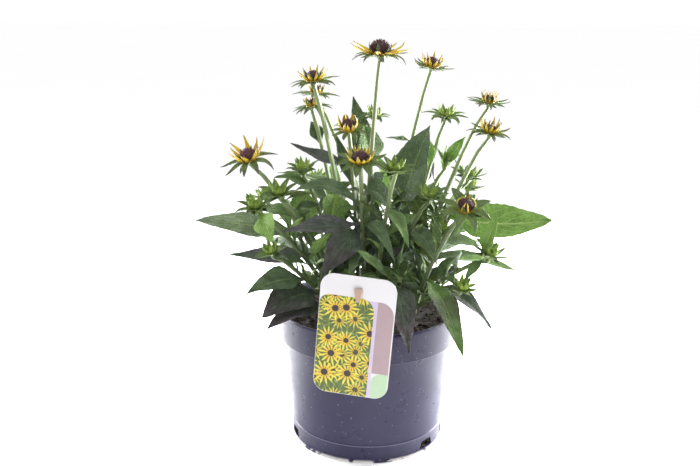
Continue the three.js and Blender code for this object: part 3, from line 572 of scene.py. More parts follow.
# Name, head, foot, tilt, receptacle radius, then bracts and leaves as above
SHOOTS = [
    ("shoot_01", (69, 25, 298), (31, 15), (0.1, -0.1), 4, (9, 21.1, 44, -36, 4.1),
     [(0.72, 51, 22, 283, 15, 4, 60, "fresh"), (0.5, 38, 72, 246, 17, 10, 0, "mid"),
      (0.62, 54, 28, 257, 12, 4, 60, "dark")]),
    ("shoot_02", (20, -58, 265), (5, -14), (0.02, -0.2), 3.6, (8, 19, 34, 14, 5.4),
     [(0.74, 32, -76, 204, 14, 14, 0, "mid"), (0.4, 6, -18, 230, 24, 2, -60, "deep"),
      (0.55, 40, -52, 226, 15, 4, 50, "mid")]),
    ("shoot_03", (-79, -30, 238), (-20, -10), (-0.1, -0.3), 3.6, (8, 19, 36, 16, 5.4),
     []),
    ("shoot_04", (-99, -40, 228), (-28, -14), (-0.12, -0.3), 3.4, (8, 18, 34, 10, 5),
     [(0.5, -34, -44, 208, 10, 4, -30, "fresh"), (0.44, -74, -56, 184, 15, 8, -20, "deep"),
      (0.97, -83, -66, 205, 21, 3, 45, "fresh")]),
    ("shoot_05", (51, -25, 234), (13, -6), (0.05, -0.2), 3.4, (8, 20, 44, 26, 5.4),
     [(0.68, 57, -70, 186, 16, 24, 10, "deep"), (0.3, 36, -12, 228, 28, 4, 60, "deep")]),
    ("shoot_06", (91, 15, 244), (30, 8), (0.15, -0.1), 3.4, (7, 19, 40, 16, 5),
     [(0.72, 162, -20, 213, 37, -12, 46, "fresh"), (0.38, 137, -20, 164, 17, 14, 20, "pale")]),
    ("shoot_07", (5, 50, 293), (0, 21), (0.1, 0), 3.4, (7, 16, 50, -30, 4.2),
     [(0.7, -5, 32, 290, 31, 4, -84, "mid"), (0.4, 10, 98, 220, 20, 14, 0, "mid"),
      (0.66, -15, 54, 312, 22, 4, -50, "deep")]),
    ("shoot_08", (105, -40, 185), (33, -13), (0.3, -0.2), 3, (7, 19, 36, 22, 4.8),
     [(0.94, 110, -44, 222, 17, 6, 70, "fresh"), (0.42, 108, -62, 124, 18, 26, 10, "dusk"),
      (0.96, 81, -56, 166, 10, 2, 0, "mid")]),
    ("shoot_09", (-86, -35, 186), (-31, -21), (-0.3, -0.2), 3, (7, 17, 30, 4, 4.8),
     [(0.35, -92, -74, 140, 38, 15, -30, "dark"), (0.12, -88, -76, 130, 26, 18, -24, "dark"),
      (0.56, -104, -84, 165, 24, 12, -36, "deep")]),
    ("shoot_10", (63, -30, 204), (22, -10), (0.2, -0.1), 3, (7, 17, 46, 34, 4.6),
     [(0.6, 102, -18, 181, 11, 7, 20, "grey")]),
    ("shoot_11", (80, -55, 160), (31, -24), (0.3, -0.3), 2.8, (7, 15, 34, 20, 4.4),
     []),
    ("shoot_12", (-60, 6, 251), (-22, 3), (-0.1, -0.1), 3.2, (8, 16, 44, 26, 5),
     [(0.88, -86, 0, 246, 15, 8, -20, "mid"), (0.9, -63, 6, 196, 24, 4, -75, "spring")]),
    ("shoot_13", (72, 33, 253), (23, 19), (0.2, 0), 2.8, (6, 17, 60, 40, 4.4),
     [(0.96, 71, 27, 271, 12, 1, 60, "fresh"), (0.97, 88, 28, 279, 13, 1, 60, "fresh"),
      (0.6, 70, 74, 226, 17, 12, 0, "mid"), (0.86, 46, 36, 265, 13, 13, 40, "dusk")]),
    ("shoot_14", (26, -62, 174), (8, -25), (0.1, -0.3), 3.2, (7, 15, 56, 30, 4.6),
     [(0.78, 33, -97, 117, 26, 20, 0, "dark"), (0.84, -12, -74, 201, 15, 2, -40, "mid"),
      (0.86, 29, -66, 208, 10, 0, 60, "mid")]),
    ("shoot_15", (-50, 88, 224), (-12, 29), (-0.2, 0.3), 3, (7, 18, 40, 20, 5),
     [(0.5, -92, 106, 178, 24, 16, 0, "mid"), (0.75, -34, 122, 236, 17, 8, 0, "fresh"),
      (0.3, -34, 124, 164, 24, 20, 0, "deep")]),
    ("shoot_16", (44, 96, 230), (10, 30), (0.2, 0.3), 3, (7, 18, 40, 20, 5),
     [(0.45, 84, 122, 182, 24, 18, 0, "deep"), (0.25, 24, 128, 160, 24, 22, 0, "dusk"),
      (0.7, 10, 112, 244, 17, 8, 0, "fresh")]),
    ("shoot_17", (-98, 46, 216), (-31, 13), (-0.3, 0.1), 3, (7, 18, 36, 16, 5),
     [(0.55, -148, 62, 186, 24, 12, 0, "mid"), (0.35, -108, 92, 160, 22, 16, 0, "deep")]),
    ("shoot_18", (98, 70, 220), (32, 25), (0.3, 0.2), 3, (7, 18, 36, 16, 5),
     [(0.5, 148, 78, 184, 24, 14, 0, "mid"), (0.3, 122, 96, 158, 22, 18, 0, "deep")]),
]


class Stem:
    """One stem's place and what grows on it, in millimetres."""

    def __init__(self, name, head, foot, tilt, flare, bracts, leaves, seed, cone=None, rays=None):
        self.name, self.bracts, self.leaves, self.seed = name, bracts, leaves, seed
        self.head, self.foot, self.flare = Vector(head), Vector((*foot, 0)), flare
        self.axis = Vector((*tilt, 1)).normalized()
        self.side = (Vector((1, 0, 0)) - self.axis * self.axis.x).normalized()
        self.other = self.axis.cross(self.side)
        self.cone, self.rays = cone, rays

    def at(self, share):
        """Point of the stem at a share of its height, leaning out more and more."""
        out = 0.5 * share + 0.5 * share * share
        flat = self.foot.lerp(Vector((*self.head.xy, 0)), out)
        return Vector((flat.x, flat.y, SOIL_TOP + (self.head.z - SOIL_TOP) * share))

    def draw(self, a, b=0):
        """Draw of this stem's own."""
        return draw(a, self.seed + b)

    def around(self, angle):
        """Way out of the head at an angle round its axis."""
        return self.side * math.cos(angle) + self.other * math.sin(angle)

    def stand(self, height):
        """Turn and place that put a shape upright on the head, at a height."""
        turn = Matrix((self.side, self.other, self.axis)).transposed().to_4x4()
        turn.translation = self.head + self.axis * height
        return turn


blooms = [Stem(name, head, foot, tilt, cone[0] * RECEPTACLE_SHARE, bracts, leaves, index + 1,
               cone, rays)
          for index, (name, head, foot, tilt, cone, rays, bracts, leaves) in enumerate(BLOOMS)]
shoots = [Stem(*shoot, index + 41) for index, shoot in enumerate(SHOOTS)]
stems = blooms + shoots


def along(table, share):
    """Value at a share of a blade's length, on one smooth line through a table."""
    last = len(table) - 2
    k = next((i for i in range(last + 1) if share <= table[i + 1][0]), last)
    (x0, y0), (x1, y1) = table[k], table[k + 1]
    before, after = table[max(0, k - 1)], table[min(len(table) - 1, k + 2)]
    slope0 = (y1 - before[1]) / (x1 - before[0])
    slope1 = (after[1] - y0) / (after[0] - x0)
    wide = x1 - x0
    t = (share - x0) / wide
    rise = 3 * t * t - 2 * t ** 3
    return (y0 + (y1 - y0) * rise + wide * slope0 * (t ** 3 - 2 * t * t + t)
            + wide * slope1 * (t ** 3 - t * t))


def tone_of(first, second, share):
    """Colour part of the way from one screen colour to another."""
    return tuple(a + (b - a) * share for a, b in zip(colour(*first), colour(*second)))


def carry_layers(bm):
    """Grain, tint and way up on every point of a mesh."""
    layers = bm.verts.layers
    return (layers.float_vector.new("grain"), layers.float_color.new("tint"),
            layers.float_vector.new("lift"))


def grown(rows, columns, place, thick=0.0, finish=0, under=None):
    """Grid bent to a place given by length and side, then given its thickness. place
    returns the point, the way up, the grain (length, side, seed) and the tint."""
    bm = bmesh.new()
    grain, tint, lift = carry_layers(bm)
    bmesh.ops.create_grid(bm, x_segments=columns, y_segments=rows, size=1)
    for vert in bm.verts:
        point, up, vert[grain], vert[tint] = place((vert.co.y + 1) / 2, vert.co.x)
        vert[lift] = up
        vert.co = point
    for face in bm.faces:
        face.material_index = finish
    bm.normal_update()
    upward = sum(f.normal.dot(f.verts[0][lift]) for f in bm.faces)
    if thick:
        if upward < 0:
            bmesh.ops.reverse_faces(bm, faces=bm.faces)
        made = bmesh.ops.solidify(bm, geom=bm.faces[:], thickness=thick)["geom"]
        for face in made:
            if isinstance(face, bmesh.types.BMFace):
                face.material_index = finish if under is None else under
    return bm


def leaf(stem, spec, index, rows, columns):
    """One leaf: stalk, blade folded along its midrib, waved edge with shallow teeth."""
    share, tx, ty, tz, width, arch, roll, tone = spec
    base, tip = stem.at(share), Vector((tx, ty, tz))
    mid = base.lerp(tip, 0.45) + Vector((0, 0, arch))
    flat = Vector((tip.x - base.x, tip.y - base.y, 0)).normalized()
    across = flat.cross(UP)
    broad = tone == "fresh" and width > 30
    table = BROAD_BLADE if broad else LARGE_BLADE if width > 25 else SMALL_BLADE
    phase = 6.28 * stem.draw(index)
    first, second, vein_share = LEAF_TONES[tone]
    seed = stem.draw(index + 5)

    def place(u, w):
        point = base * (1 - u) ** 2 + mid * 2 * u * (1 - u) + tip * u * u
        ahead = ((mid - base) * (1 - u) + (tip - mid) * u).normalized()
        unturned = across.cross(ahead)
        turn = math.radians(roll) * min(1, u / 0.3)
        sideways = across * math.cos(turn) - unturned * math.sin(turn)
        up = unturned * math.cos(turn) + across * math.sin(turn)
        tooth = 1 - abs(2 * ((u * TEETH + seed) % 1) - 1)
        teeth = TOOTH_DEEP * tooth if 0.26 < u < 0.95 else 0
        half = max(0.35, 0.5 * width * along(table, u)) * (1 + teeth)
        wave = 0.05 * width * math.sin(6.5 * u + phase) if half > 2 else 0
        side = abs(w)
        fold = 0.3 * half * (1.3 * side - 0.3 * side * side)
        vein = (u * VEINS - side * VEIN_LEAN) % 1
        quilt = 0.009 * width * math.sin(math.pi * vein) ** 0.8 * (1 - side ** 4) * min(1, 6 * side)
        ripple = 0.022 * width * math.sin(19 * u + 9 * seed + (2 if w > 0 else 0)) * side ** 3
        grown_in = min(1, max(0, (u - 0.15) * 6))
        height = fold + wave * w * side ** 0.5 + (quilt + ripple) * grown_in
        cloud = 0.5 + 0.5 * noise.noise(point / 14 + Vector((seed * 9, 0, 0)))
        if tone == "patch":
            mixed = 2.6 * (cloud - 0.4) * min(1, max(0, (u - 0.25) * 2.5)) + 0.6 * side ** 4 * u
        elif tone == "dark":
            mixed = min(1, max(0, (u - 0.4) * 2.2)) * (0.4 + cloud) + 0.5 * side ** 3
        elif tone == "dusk":
            mixed = 0.8 * cloud + 0.6 * side ** 2
        else:
            mixed = 1.2 * cloud - 0.1
        tint = tone_of(first, second, min(1, max(0, mixed)))
        tint = tuple(c * (0.86 + 0.28 * seed) for c in tint[:3]) + (vein_share,)
        return point + sideways * (w * half) + up * height, up, (u, w, seed), tint

    return grown(rows, columns, place, thick=LEAF_THICK, finish=1, under=2)


def blade_path(length, first, last, radius, start, rows, curl):
    """Radius and height of a bract's or a ray's middle line at each of its rows."""
    path = [(radius, start)]
    for k in range(rows):
        share = (k + 0.5) / rows
        slope = math.radians(first + (last - first) * share + curl * share ** 3)
        r, z = path[-1]
        path.append((r + math.cos(slope) * length / rows, z + math.sin(slope) * length / rows))
    return path


def whorl_blade(stem, angle, drift, path, slopes, outline, width, cross, shade, finish, seed,
                columns=4):
    """One bract or ray on its path. cross gives the height over its width, shade its tint."""
    rows = len(path) - 1
    first, last = (math.radians(s) for s in slopes)

    def place(u, w):
        r, z = path[round(u * rows)]
        here = first + (last - first) * u
        out = stem.around(angle + drift * u)
        across = stem.axis.cross(out)
        up = stem.axis * math.cos(here) - out * math.sin(here)
        half = 0.5 * width * along(outline, u)
        point = stem.head + out * r + stem.axis * z + across * (w * half)
        point += up * (half * cross(u, w))
        return point, up, (u, w, seed), shade(u, w)

    return grown(rows, columns, place, thick=PETAL_THICK, finish=finish)


def out_of(way, angle):
    """Direction that leaves a stem at right angles to its way, at an angle round it."""
    side = (Vector((1, 0, 0)) - way * way.x).normalized()
    return side * math.cos(angle) + way.cross(side) * math.sin(angle)


def stem_tube(stem):
    """Stem from its foot in the soil to the flared receptacle under its head."""
    stations = [(stem.foot + Vector((0, 0, STEM_ROOT)), UP, STEM_FOOT)]
    for k in range(STEM_ROWS):
        share = k / STEM_ROWS * 0.94
        here = stem.at(share)
        way = UP if k == 0 else (stem.at(share + 0.02) - here).normalized()
        stations.append((here, way, STEM_FOOT + (STEM_TOP - STEM_FOOT) * share))
    flare = stem.flare
    for down, radius in ((-5.5, 1.75), (-4.2, 1.9), (-3.2, 0.35 * flare + 1.0),
                         (-2.4, 0.7 * flare + 0.4), (-1.5, 0.95 * flare), (-0.7, flare),
                         (0, 0.92 * flare), (0.2, 0.5 * flare), (0.25, 0.02)):
        stations.append((stem.head + stem.axis * down, stem.axis, radius))
    pale, shaded = (106, 120, 78), (68, 82, 48)
    warm = {1: 1.1, 6: 0.5, 7: 0.5}.get(stem.seed, 0.0)

    def place(u, w):
        spot, way, radius = stations[round(u * (len(stations) - 1))]
        angle = math.pi * w
        out = out_of(way, angle)
        ridge = 1 + 0.07 * math.cos(5 * angle)
        low = min(1.0, max(0.0, (262 - spot.z) / 62))
        tint = Vector(tone_of(pale, shaded, low))
        tint = tint.lerp(Vector(colour(98, 82, 62)), warm * out.x ** 2 * 0.7)
        return spot + out * radius * ridge, out, (u, w, stem.draw(3)), tint

    bm = grown(len(stations) - 1, STEM_SIDES, place)
    bmesh.ops.remove_doubles(bm, verts=bm.verts, dist=0.01)
    rim = [e for e in bm.edges if e.is_boundary]
    bmesh.ops.holes_fill(bm, edges=rim, sides=0)
    bmesh.ops.recalc_face_normals(bm, faces=bm.faces)
    return bm


def bract_shade(stem, seed, inner):
    """Tint of one bract: yellow green at its root, green, then a grey purple tip."""
    young = stem.seed > 40 or stem.seed in (6, 7, 11)
    root, green, tip = (140, 158, 80), (118, 138, 92), (112, 114, 108)
    if young:
        root, green, tip = (134, 154, 78), (114, 134, 84), (104, 120, 86)
    if inner:
        root, green, tip = (188, 204, 96), (172, 196, 92), (148, 176, 86)
    if stem.seed in (1, 8):
        tip = (110, 98, 108)
    if stem.name == "shoot_14":
        root, green, tip = (98, 120, 64), (88, 110, 66), (78, 98, 62)
    light = 0.8 + 0.35 * draw(seed, 77)

    def shade(u, w):
        tone = tone_of(root, green, min(1, 3 * u))
        if u > 0.4:
            tone = tone_of(green, tip, min(1, 2 * u - 0.8))
        return tuple(c * light for c in tone[:3]) + (0.5,)

    return shade


def green_whorl(stem, body, spec, radius, low, seed_shift, turn=0.0, scale=1.0, droop=0.0,
                hook=0.0):
    """Whorl of bracts round the receptacle, each with its own droop and curled tip."""
    count, length, first, last, width = spec
    step = 2 * math.pi / count
    for i in range(count):
        long = length * scale * (0.8 + 0.26 * stem.draw(i, seed_shift))
        end = last + droop + 14 * (stem.draw(i, seed_shift + 2) - 0.5)
        drift = 0.5 * step * (stem.draw(i, seed_shift + 4) - 0.5)
        slopes = (first + droop * 0.5, end)
        curl = hook * (stem.draw(i, seed_shift + 6) - 0.45)
        path = blade_path(long, *slopes, radius - 0.4, low, 14, curl)
        trough = 0.25 + 0.5 * stem.draw(i, 31)
        bract = whorl_blade(
            stem, (i + 0.5) * step + turn, drift, path, slopes, BRACT_OUTLINE,
            width * (0.95 + 0.4 * stem.draw(i, 37)),
            lambda u, w: trough * w * w - 0.1,
            bract_shade(stem, i + stem.seed, seed_shift > 40), 3, stem.draw(i, 9))
        joined(body, bract)


def carried(tree, layer):
    """What a mesh carries on its points: its grain or its tint."""
    return add(tree, "Attribute", attribute_name=layer)


stem_finish, tree, shader = new_finish("stem_skin")
tint = carried(tree, "tint").outputs["Color"]
grain = add(tree, "SeparateXYZ", {0: carried(tree, "grain").outputs["Vector"]})
place = object_place(tree)
# Fine pale stripes round the stem: partly the stem's own striped colour, partly painted highlight
streaks = calc(tree, "SINE", times(tree, grain.outputs["Y"], 31.4))
base = mix(tree, between(tree, streaks, -1, 1, 0, 0.25), tint, colour(140, 154, 106))
base = mix(tree, clouds(tree, place, 260, 4, 0.4, 0.7, 0, 0.35), base, colour(96, 114, 64))
feed(tree, shader, {"Base Color": base, "Roughness": 0.6})
relief(tree, shader, speckle(tree, place, 2600, 2), 0.0003, 0.5)


def blade_finish(name, vein_tone, vein_strength, darken, rough, veins=VEINS):
    """Leaf surface: tint of the leaf, paler midrib and side veins, a fine sunken net."""
    material, tree, shader = new_finish(name)
    leaf_tint = carried(tree, "tint")
    tint, vein_share = leaf_tint.outputs["Color"], leaf_tint.outputs["Alpha"]
    grain_vector = carried(tree, "grain").outputs["Vector"]
    grain = add(tree, "SeparateXYZ", {0: grain_vector})
    place = object_place(tree)
    length, side = grain.outputs["X"], calc(tree, "ABSOLUTE", grain.outputs["Y"])
    wobble = clouds(tree, place, 130, 2, 0.3, 0.7, -0.04, 0.04)
    run = calc(tree, "MULTIPLY_ADD", length, veins, times(tree, side, -VEIN_LEAN))
    run = calc(tree, "ADD", run, wobble)
    near = calc(tree, "ABSOLUTE", calc(tree, "SUBTRACT", calc(tree, "FRACT", run), 0.5))
    side_vein = between(tree, near, 0.43, 0.49)
    side_vein = times(tree, side_vein, between(tree, side, 0.98, 0.6))
    midrib = between(tree, side, 0.07, 0.03)
    net_cells = add(tree, "TexVoronoi", {"Vector": place, "Scale": 480.0},
                    feature="DISTANCE_TO_EDGE")
    net = between(tree, net_cells.outputs["Distance"], 0.12, 0.02)
    puffed = between(tree, net_cells.outputs["Distance"], 0.0, 0.3)
    drawn = add(tree, "VectorMath", {0: grain_vector, 1: (5.0, 9.0, 40.0)}, operation="MULTIPLY")
    streaks = clouds(tree, drawn.outputs[0], 1.3, 5, 0.3, 0.7)
    raised = between(tree, vein_share, 0.3, 0.7, 0.5, 1.0)
    lines = calc(tree, "MAXIMUM", midrib, times(tree, side_vein, raised))
    ribs_apart = calc(tree, "SUBTRACT", 1.0, times(tree, vein_share, 1.2))
    # Darker vein furrows: partly the veins' own colour, partly painted shade in the furrows
    furrow = times(tree, between(tree, near, 0.4, 0.48), between(tree, side, 0.98, 0.7))
    mottled = mix(tree, clouds(tree, place, 110, 5, 0.35, 0.7, 0, 0.55), tint, darken,
                  "MULTIPLY")
    bleached = clouds(tree, place, 260, 4, 0.55, 0.75, 0, 0.14)
    mottled = mix(tree, bleached, mottled, colour(150, 148, 150))
    mottled = mix(tree, times(tree, streaks, 0.3), mottled, darken, "MULTIPLY")
    net_tone = mix(tree, between(tree, vein_share, 0.3, 0.7), colour(52, 68, 40),
                   colour(160, 190, 110))
    mottled = mix(tree, times(tree, net, 0.34), mottled, net_tone)
    furrow = times(tree, furrow, times(tree, ribs_apart, 0.75))
    mottled = mix(tree, furrow, mottled, colour(110, 120, 106), "MULTIPLY")
    # Painted highlight: pale grey-green patches between the veins, mostly on the darker leaves
    crest_highlight = times(tree, clouds(tree, place, 90, 3, 0.5, 0.7), ribs_apart)
    mottled = mix(tree, times(tree, crest_highlight, 0.14), mottled, colour(140, 156, 140))
    strength = times(tree, lines, times(tree, vein_share, vein_strength))
    base = mix(tree, strength, mottled, vein_tone)
    rough = between(tree, lines, 0, 1, rough, rough + 0.12)
    feed(tree, shader, {"Base Color": base, "Roughness": rough, "Specular IOR Level": 0.16})
    height = calc(tree, "ADD", times(tree, lines, -0.7),
                  times(tree, speckle(tree, place, 1300, 3), 0.25))
    height = calc(tree, "ADD", height, times(tree, puffed, 0.8))
    relief(tree, shader, height, 0.0011, 0.8)
    return material


leaf_finish = blade_finish("leaf_upper", colour(176, 200, 128), 0.85, colour(150, 166, 144), 0.6)
under_finish = blade_finish("leaf_under", colour(168, 186, 134), 0.9, colour(186, 194, 186), 0.65)
bract_finish = blade_finish("bract_skin", colour(178, 198, 136), 0.5, colour(176, 188, 160), 0.6,
                            veins=0.0)


# Small leaves low down, then in the leaf joints above: how many, first and last share of
# height, length and flattest slope with what a draw adds, width to length, and tones
FILL_BANDS = (
    (9, 0.02, 0.36, 26, 32, 24, 50, 0.32,
     ("mid", "deep", "dark", "olive", "deep", "mid", "dusk")),
    (11, 0.3, 0.74, 16, 26, 10, 60, 0.3, ("mid", "spring", "mid", "olive", "deep")),
)
FILL_TRIALS = 7
FILL_REACH = 98
FILL_TOP = 236


def outline_tree(bm, base=None):
    """Search tree of a shape, without the part that grows out of its stem."""
    shape = bm.copy()
    if base:
        rooted = [v for v in shape.verts if (v.co - base).length < 4]
        bmesh.ops.delete(shape, geom=rooted, context="VERTS")
    tree = BVHTree.FromBMesh(shape)
    shape.free()
    return tree


def fill_leaves(stem):
    """Smaller leaves of a stem, tried one at a time and kept where they touch nothing."""
    found = []
    for band, (count, low, high, short, more, flat, steep, wide, tones) in enumerate(FILL_BANDS):
        for k in range(count):
            share = low + (high - low) * (k + stem.draw(k, 81 + band)) / count
            base = stem.at(share)
            for trial in range(FILL_TRIALS):
                roll = stem.draw(k + 7 * trial, 83 + band)
                angle = 2.4 * k + 6.28 * roll
                long = short + more * stem.draw(k + trial, 85 + band) * (1 - trial / 9)
                rise = math.radians(flat + steep * stem.draw(k + trial, 87))
                level = math.cos(rise)
                tip = base + Vector((math.cos(angle) * level, math.sin(angle) * level,
                                     math.sin(rise))) * long
                if tip.xy.length > FILL_REACH or tip.z > FILL_TOP:
                    continue
                tone = tones[int(len(tones) * stem.draw(k, 89 + band))]
                width = long * wide * (0.8 + 0.4 * roll)
                spec = (share, *tip, width, 3 + 0.14 * long, 110 * (roll - 0.5), tone)
                rough_leaf = leaf(stem, spec, 20 + k, 9, 2)
                tree = outline_tree(rough_leaf, base)
                rough_leaf.free()
                if not any(tree.overlap(other) for other in taken):
                    taken.append(tree)
                    found.append((spec, 20 + k))
                    break
    return found


taken = [BVHTree.FromBMesh(stem_tube(stem)) for stem in stems]
for stem in stems:
    for index, spec in enumerate(stem.leaves):
        taken.append(outline_tree(leaf(stem, spec, index, 14, 4)))

for stem in stems:
    body = bmesh.new()
    carry_layers(body)
    joined(body, stem_tube(stem))
    for index, spec in enumerate(stem.leaves):
        size = (46, 12) if spec[4] > 20 else (30, 8)
        joined(body, leaf(stem, spec, index, *size))
    for spec, index in fill_leaves(stem):
        joined(body, leaf(stem, spec, index, 20, 6))
    green_whorl(stem, body, stem.bracts, stem.flare, -0.9, 3, hook=115 if stem.rays else 80)
    count, length, first, last, width = stem.bracts
    if stem.rays:
        under = (count - 5, length, first, last, width)
        green_whorl(stem, body, under, stem.flare, -1.6, 23, 0.4, 0.56, -12, 80)
        green_whorl(stem, body, (6, 0.55 * length, 40, 78, 2.8), stem.flare, -0.6, 33, 0.8,
                    hook=60)
    else:
        under = (count - 4, length, first, last, width)
        green_whorl(stem, body, under, stem.flare, -1.5, 23, 0.4, 0.6, -22, 60)
        green_whorl(stem, body, (6, 13.5, 46, 86, 4.0), stem.flare * 0.8, -0.2, 43, 0.3)
        green_whorl(stem, body, (4, 7.5, 62, 110, 3.0), stem.flare * 0.6, 0.1, 53, 0.9)
    nodes = [stem.name + "_green"] if stem.rays else [stem.name]
    slot_name = "flower_stem_green" if stem.rays else "young_green"
    finish_piece(stem.name + "_plant", body, [stem_finish, leaf_finish, under_finish, bract_finish],
                 slot_name, nodes, smooth=60)


# Ray florets
# The golden petals: narrow strap-like florets set in a ring round the cone, grooved
# along their length, opened flat on the oldest head and still curled in on the young ones.
RAY_OUTLINE = [(0, 0.5), (0.18, 0.88), (0.38, 1), (0.62, 0.68), (0.84, 0.28), (1, 0.08)]

ray_finish, tree, shader = new_finish("ray_petal")
grain = add(tree, "SeparateXYZ", {0: carried(tree, "grain").outputs["Vector"]})
tint = carried(tree, "tint").outputs["Color"]
place = object_place(tree)
stripes = calc(tree, "SINE", times(tree, grain.outputs["Y"], 17.0))
base = mix(tree, between(tree, stripes, -0.2, 1, 0, 0.3), tint, colour(182, 136, 18))
base = mix(tree, clouds(tree, place, 500, 3, 0.55, 0.75, 0, 0.2), base, colour(158, 116, 26))
feed(tree, shader, {"Base Color": base, "Roughness": 0.5})
relief(tree, shader, stripes, 0.0002, 0.4)


def tinted(bm, tone):
    """Gives every point of a mesh one tint."""
    layer = bm.verts.layers.float_color.new("tint")
    for vert in bm.verts:
        vert[layer] = tone


def ray_shade(u, warm, folded):
    """Tint of a ray: deep gold at its root, yellow, then a faded thread of a tip."""
    if folded:
        return colour(212, 182, 60)
    if u > 0.7:
        return tone_of((202, 174, 48), (156, 136, 92), min(1, (u - 0.7) * 4))
    return tone_of((178, 134, 18), (202, 174, 48), min(1, max(0, 2 * u - warm)))


for stem in blooms:
    count, length, first, last, width = stem.rays
    folded = last > 140
    count = count if folded else round(count * 1.15)
    narrowed = 0.6 if folded else 1.2 if stem.seed in (1, 7) else 0.95
    shortest = 0.84 if stem.seed == 1 else 0.62
    step = 2 * math.pi / count
    radius = stem.cone[0] + 1.2
    petals = bmesh.new()
    carry_layers(petals)
    for i in range(count):
        long = length * (shortest + (1.04 - shortest) * stem.draw(i, 11))
        end = last + 26 * (stem.draw(i, 13) - 0.5)
        drift = 0.8 * step * (stem.draw(i, 15) - 0.5)
        if stem.seed == 6 and stem.around((i + 0.5) * step).y < -0.4:
            long *= 0.66
        tip_curl = 70 * (stem.draw(i, 17) - 0.4)
        path = blade_path(long + 1.6, first, end, radius - 1.6, 0.8, 18, tip_curl)
        warm = 0.25 * stem.draw(i, 61)
        curl = 0.35 + 0.4 * stem.draw(i, 63)
        petal = whorl_blade(
            stem, (i + 0.5) * step, drift, path, (first, end), RAY_OUTLINE, width * narrowed,
            lambda u, w: curl * w * w - 0.16 * math.cos(5 * w) * (1 - u),
            lambda u, w: ray_shade(u, warm, folded),
            0, stem.draw(i, 65), columns=8)
        joined(petals, petal)
    collar = bmesh.new()
    bmesh.ops.create_cone(collar, cap_ends=True, segments=32, radius1=radius - 0.6,
                          radius2=radius - 0.9, depth=0.9)
    bmesh.ops.transform(collar, matrix=stem.stand(0.8), verts=collar.verts)
    tinted(collar, colour(156, 124, 34))
    joined(petals, collar)
    finish_piece(stem.name + "_petals", petals, [ray_finish], "ray_gold", [stem.name + "_rays"], 60)


# Cones
# The dark heart of each head, a dome packed with tiny florets in crossing spirals, brown
# to purple, each a stub with a bristle tip. Buds hold a small green and purple one.
# Share of height, share of radius
CONE_SHAPE = [(0, 0.78), (0.2, 1), (0.48, 0.93), (0.74, 0.68), (0.92, 0.34), (1, 0.02)]
GOLDEN_TURN = math.pi * (3 - math.sqrt(5))
LARGE_CONE_FLORETS = 170
SMALL_CONE_FLORETS = 110
BUD_FLORETS = 34
BUD_HEART_HIGH = 4.4

floret_finish, tree, shader = new_finish("cone_floret")
tint = carried(tree, "tint").outputs["Color"]
place = object_place(tree)
base = mix(tree, clouds(tree, place, 900, 2, 0.4, 0.7, 0, 0.5), tint, colour(112, 58, 56))
feed(tree, shader, {"Base Color": base, "Roughness": 0.55})
relief(tree, shader, speckle(tree, place, 3000, 2), 0.0003, 0.5)


def floret_head(stem, radius, height, lift, count, low_tone, high_tone):
    """Dome and its florets, closed and standing on the head."""
    dome = turned([(0, 0)] + [(radius * w * 0.93, height * h) for h, w in CONE_SHAPE], 24)
    tinted(dome, colour(*low_tone))
    floret_size = 1.25 * radius * math.sqrt(2.6 / count)
    for k in range(count):
        share = (k + 0.5) / count
        h = 1 - share ** 0.75 * 0.96
        w = along(CONE_SHAPE, h)
        ahead = along(CONE_SHAPE, min(1, h + 0.03))
        slope = math.atan2((w - ahead) * radius, 0.03 * height)
        angle = k * GOLDEN_TURN
        stub = bmesh.new()
        bmesh.ops.create_cone(stub, cap_ends=True, segments=5, radius1=floret_size * 0.62,
                              radius2=floret_size * 0.2, depth=floret_size * 1.5)
        tilt = Matrix.Rotation(math.pi / 2 - slope, 4, "Y")
        spot = Matrix.Translation((radius * w * 0.97, 0, height * h))
        bmesh.ops.transform(stub, matrix=Matrix.Rotation(angle, 4, "Z") @ spot @ tilt,
                            verts=stub.verts)
        lit = min(1, max(0, h + 0.5 * (stem.draw(k) - 0.5)))
        tinted(stub, tone_of(low_tone, high_tone, lit))
        joined(dome, stub)
    bmesh.ops.transform(dome, matrix=stem.stand(lift), verts=dome.verts)
    return dome


for stem in blooms:
    radius, height = stem.cone
    count = LARGE_CONE_FLORETS if radius > 6 else SMALL_CONE_FLORETS
    low_tone, high_tone = (46, 26, 30), (64, 36, 38)
    if stem.seed == 8:
        low_tone, high_tone = (74, 40, 46), (92, 54, 54)
    head = floret_head(stem, radius, height, 1.6, count, low_tone, high_tone)
    finish_piece(stem.name + "_florets", head, [floret_finish], "cone_brown",
                 [stem.name + "_cone"], 30)

hearts = bmesh.new()
hearts.verts.layers.float_color.new("tint")
for stem in shoots:
    heart = floret_head(stem, stem.flare * 0.5, BUD_HEART_HIGH, 0.1, BUD_FLORETS, (88, 78, 40),
                        (66, 40, 40))
    joined(hearts, heart)
finish_piece("bud_hearts", hearts, [floret_finish], "cone_brown", smooth=30)


# Hairs
# Short stiff white hairs that stand out from the stems, thickest under the heads. Each
# is a thin three-sided spike rooted in the stem's skin.
HAIR_THICK = 0.07

hair_finish = cloudy_finish("stem_hair", colour(160, 168, 138), colour(182, 188, 162), 90, 0.6)

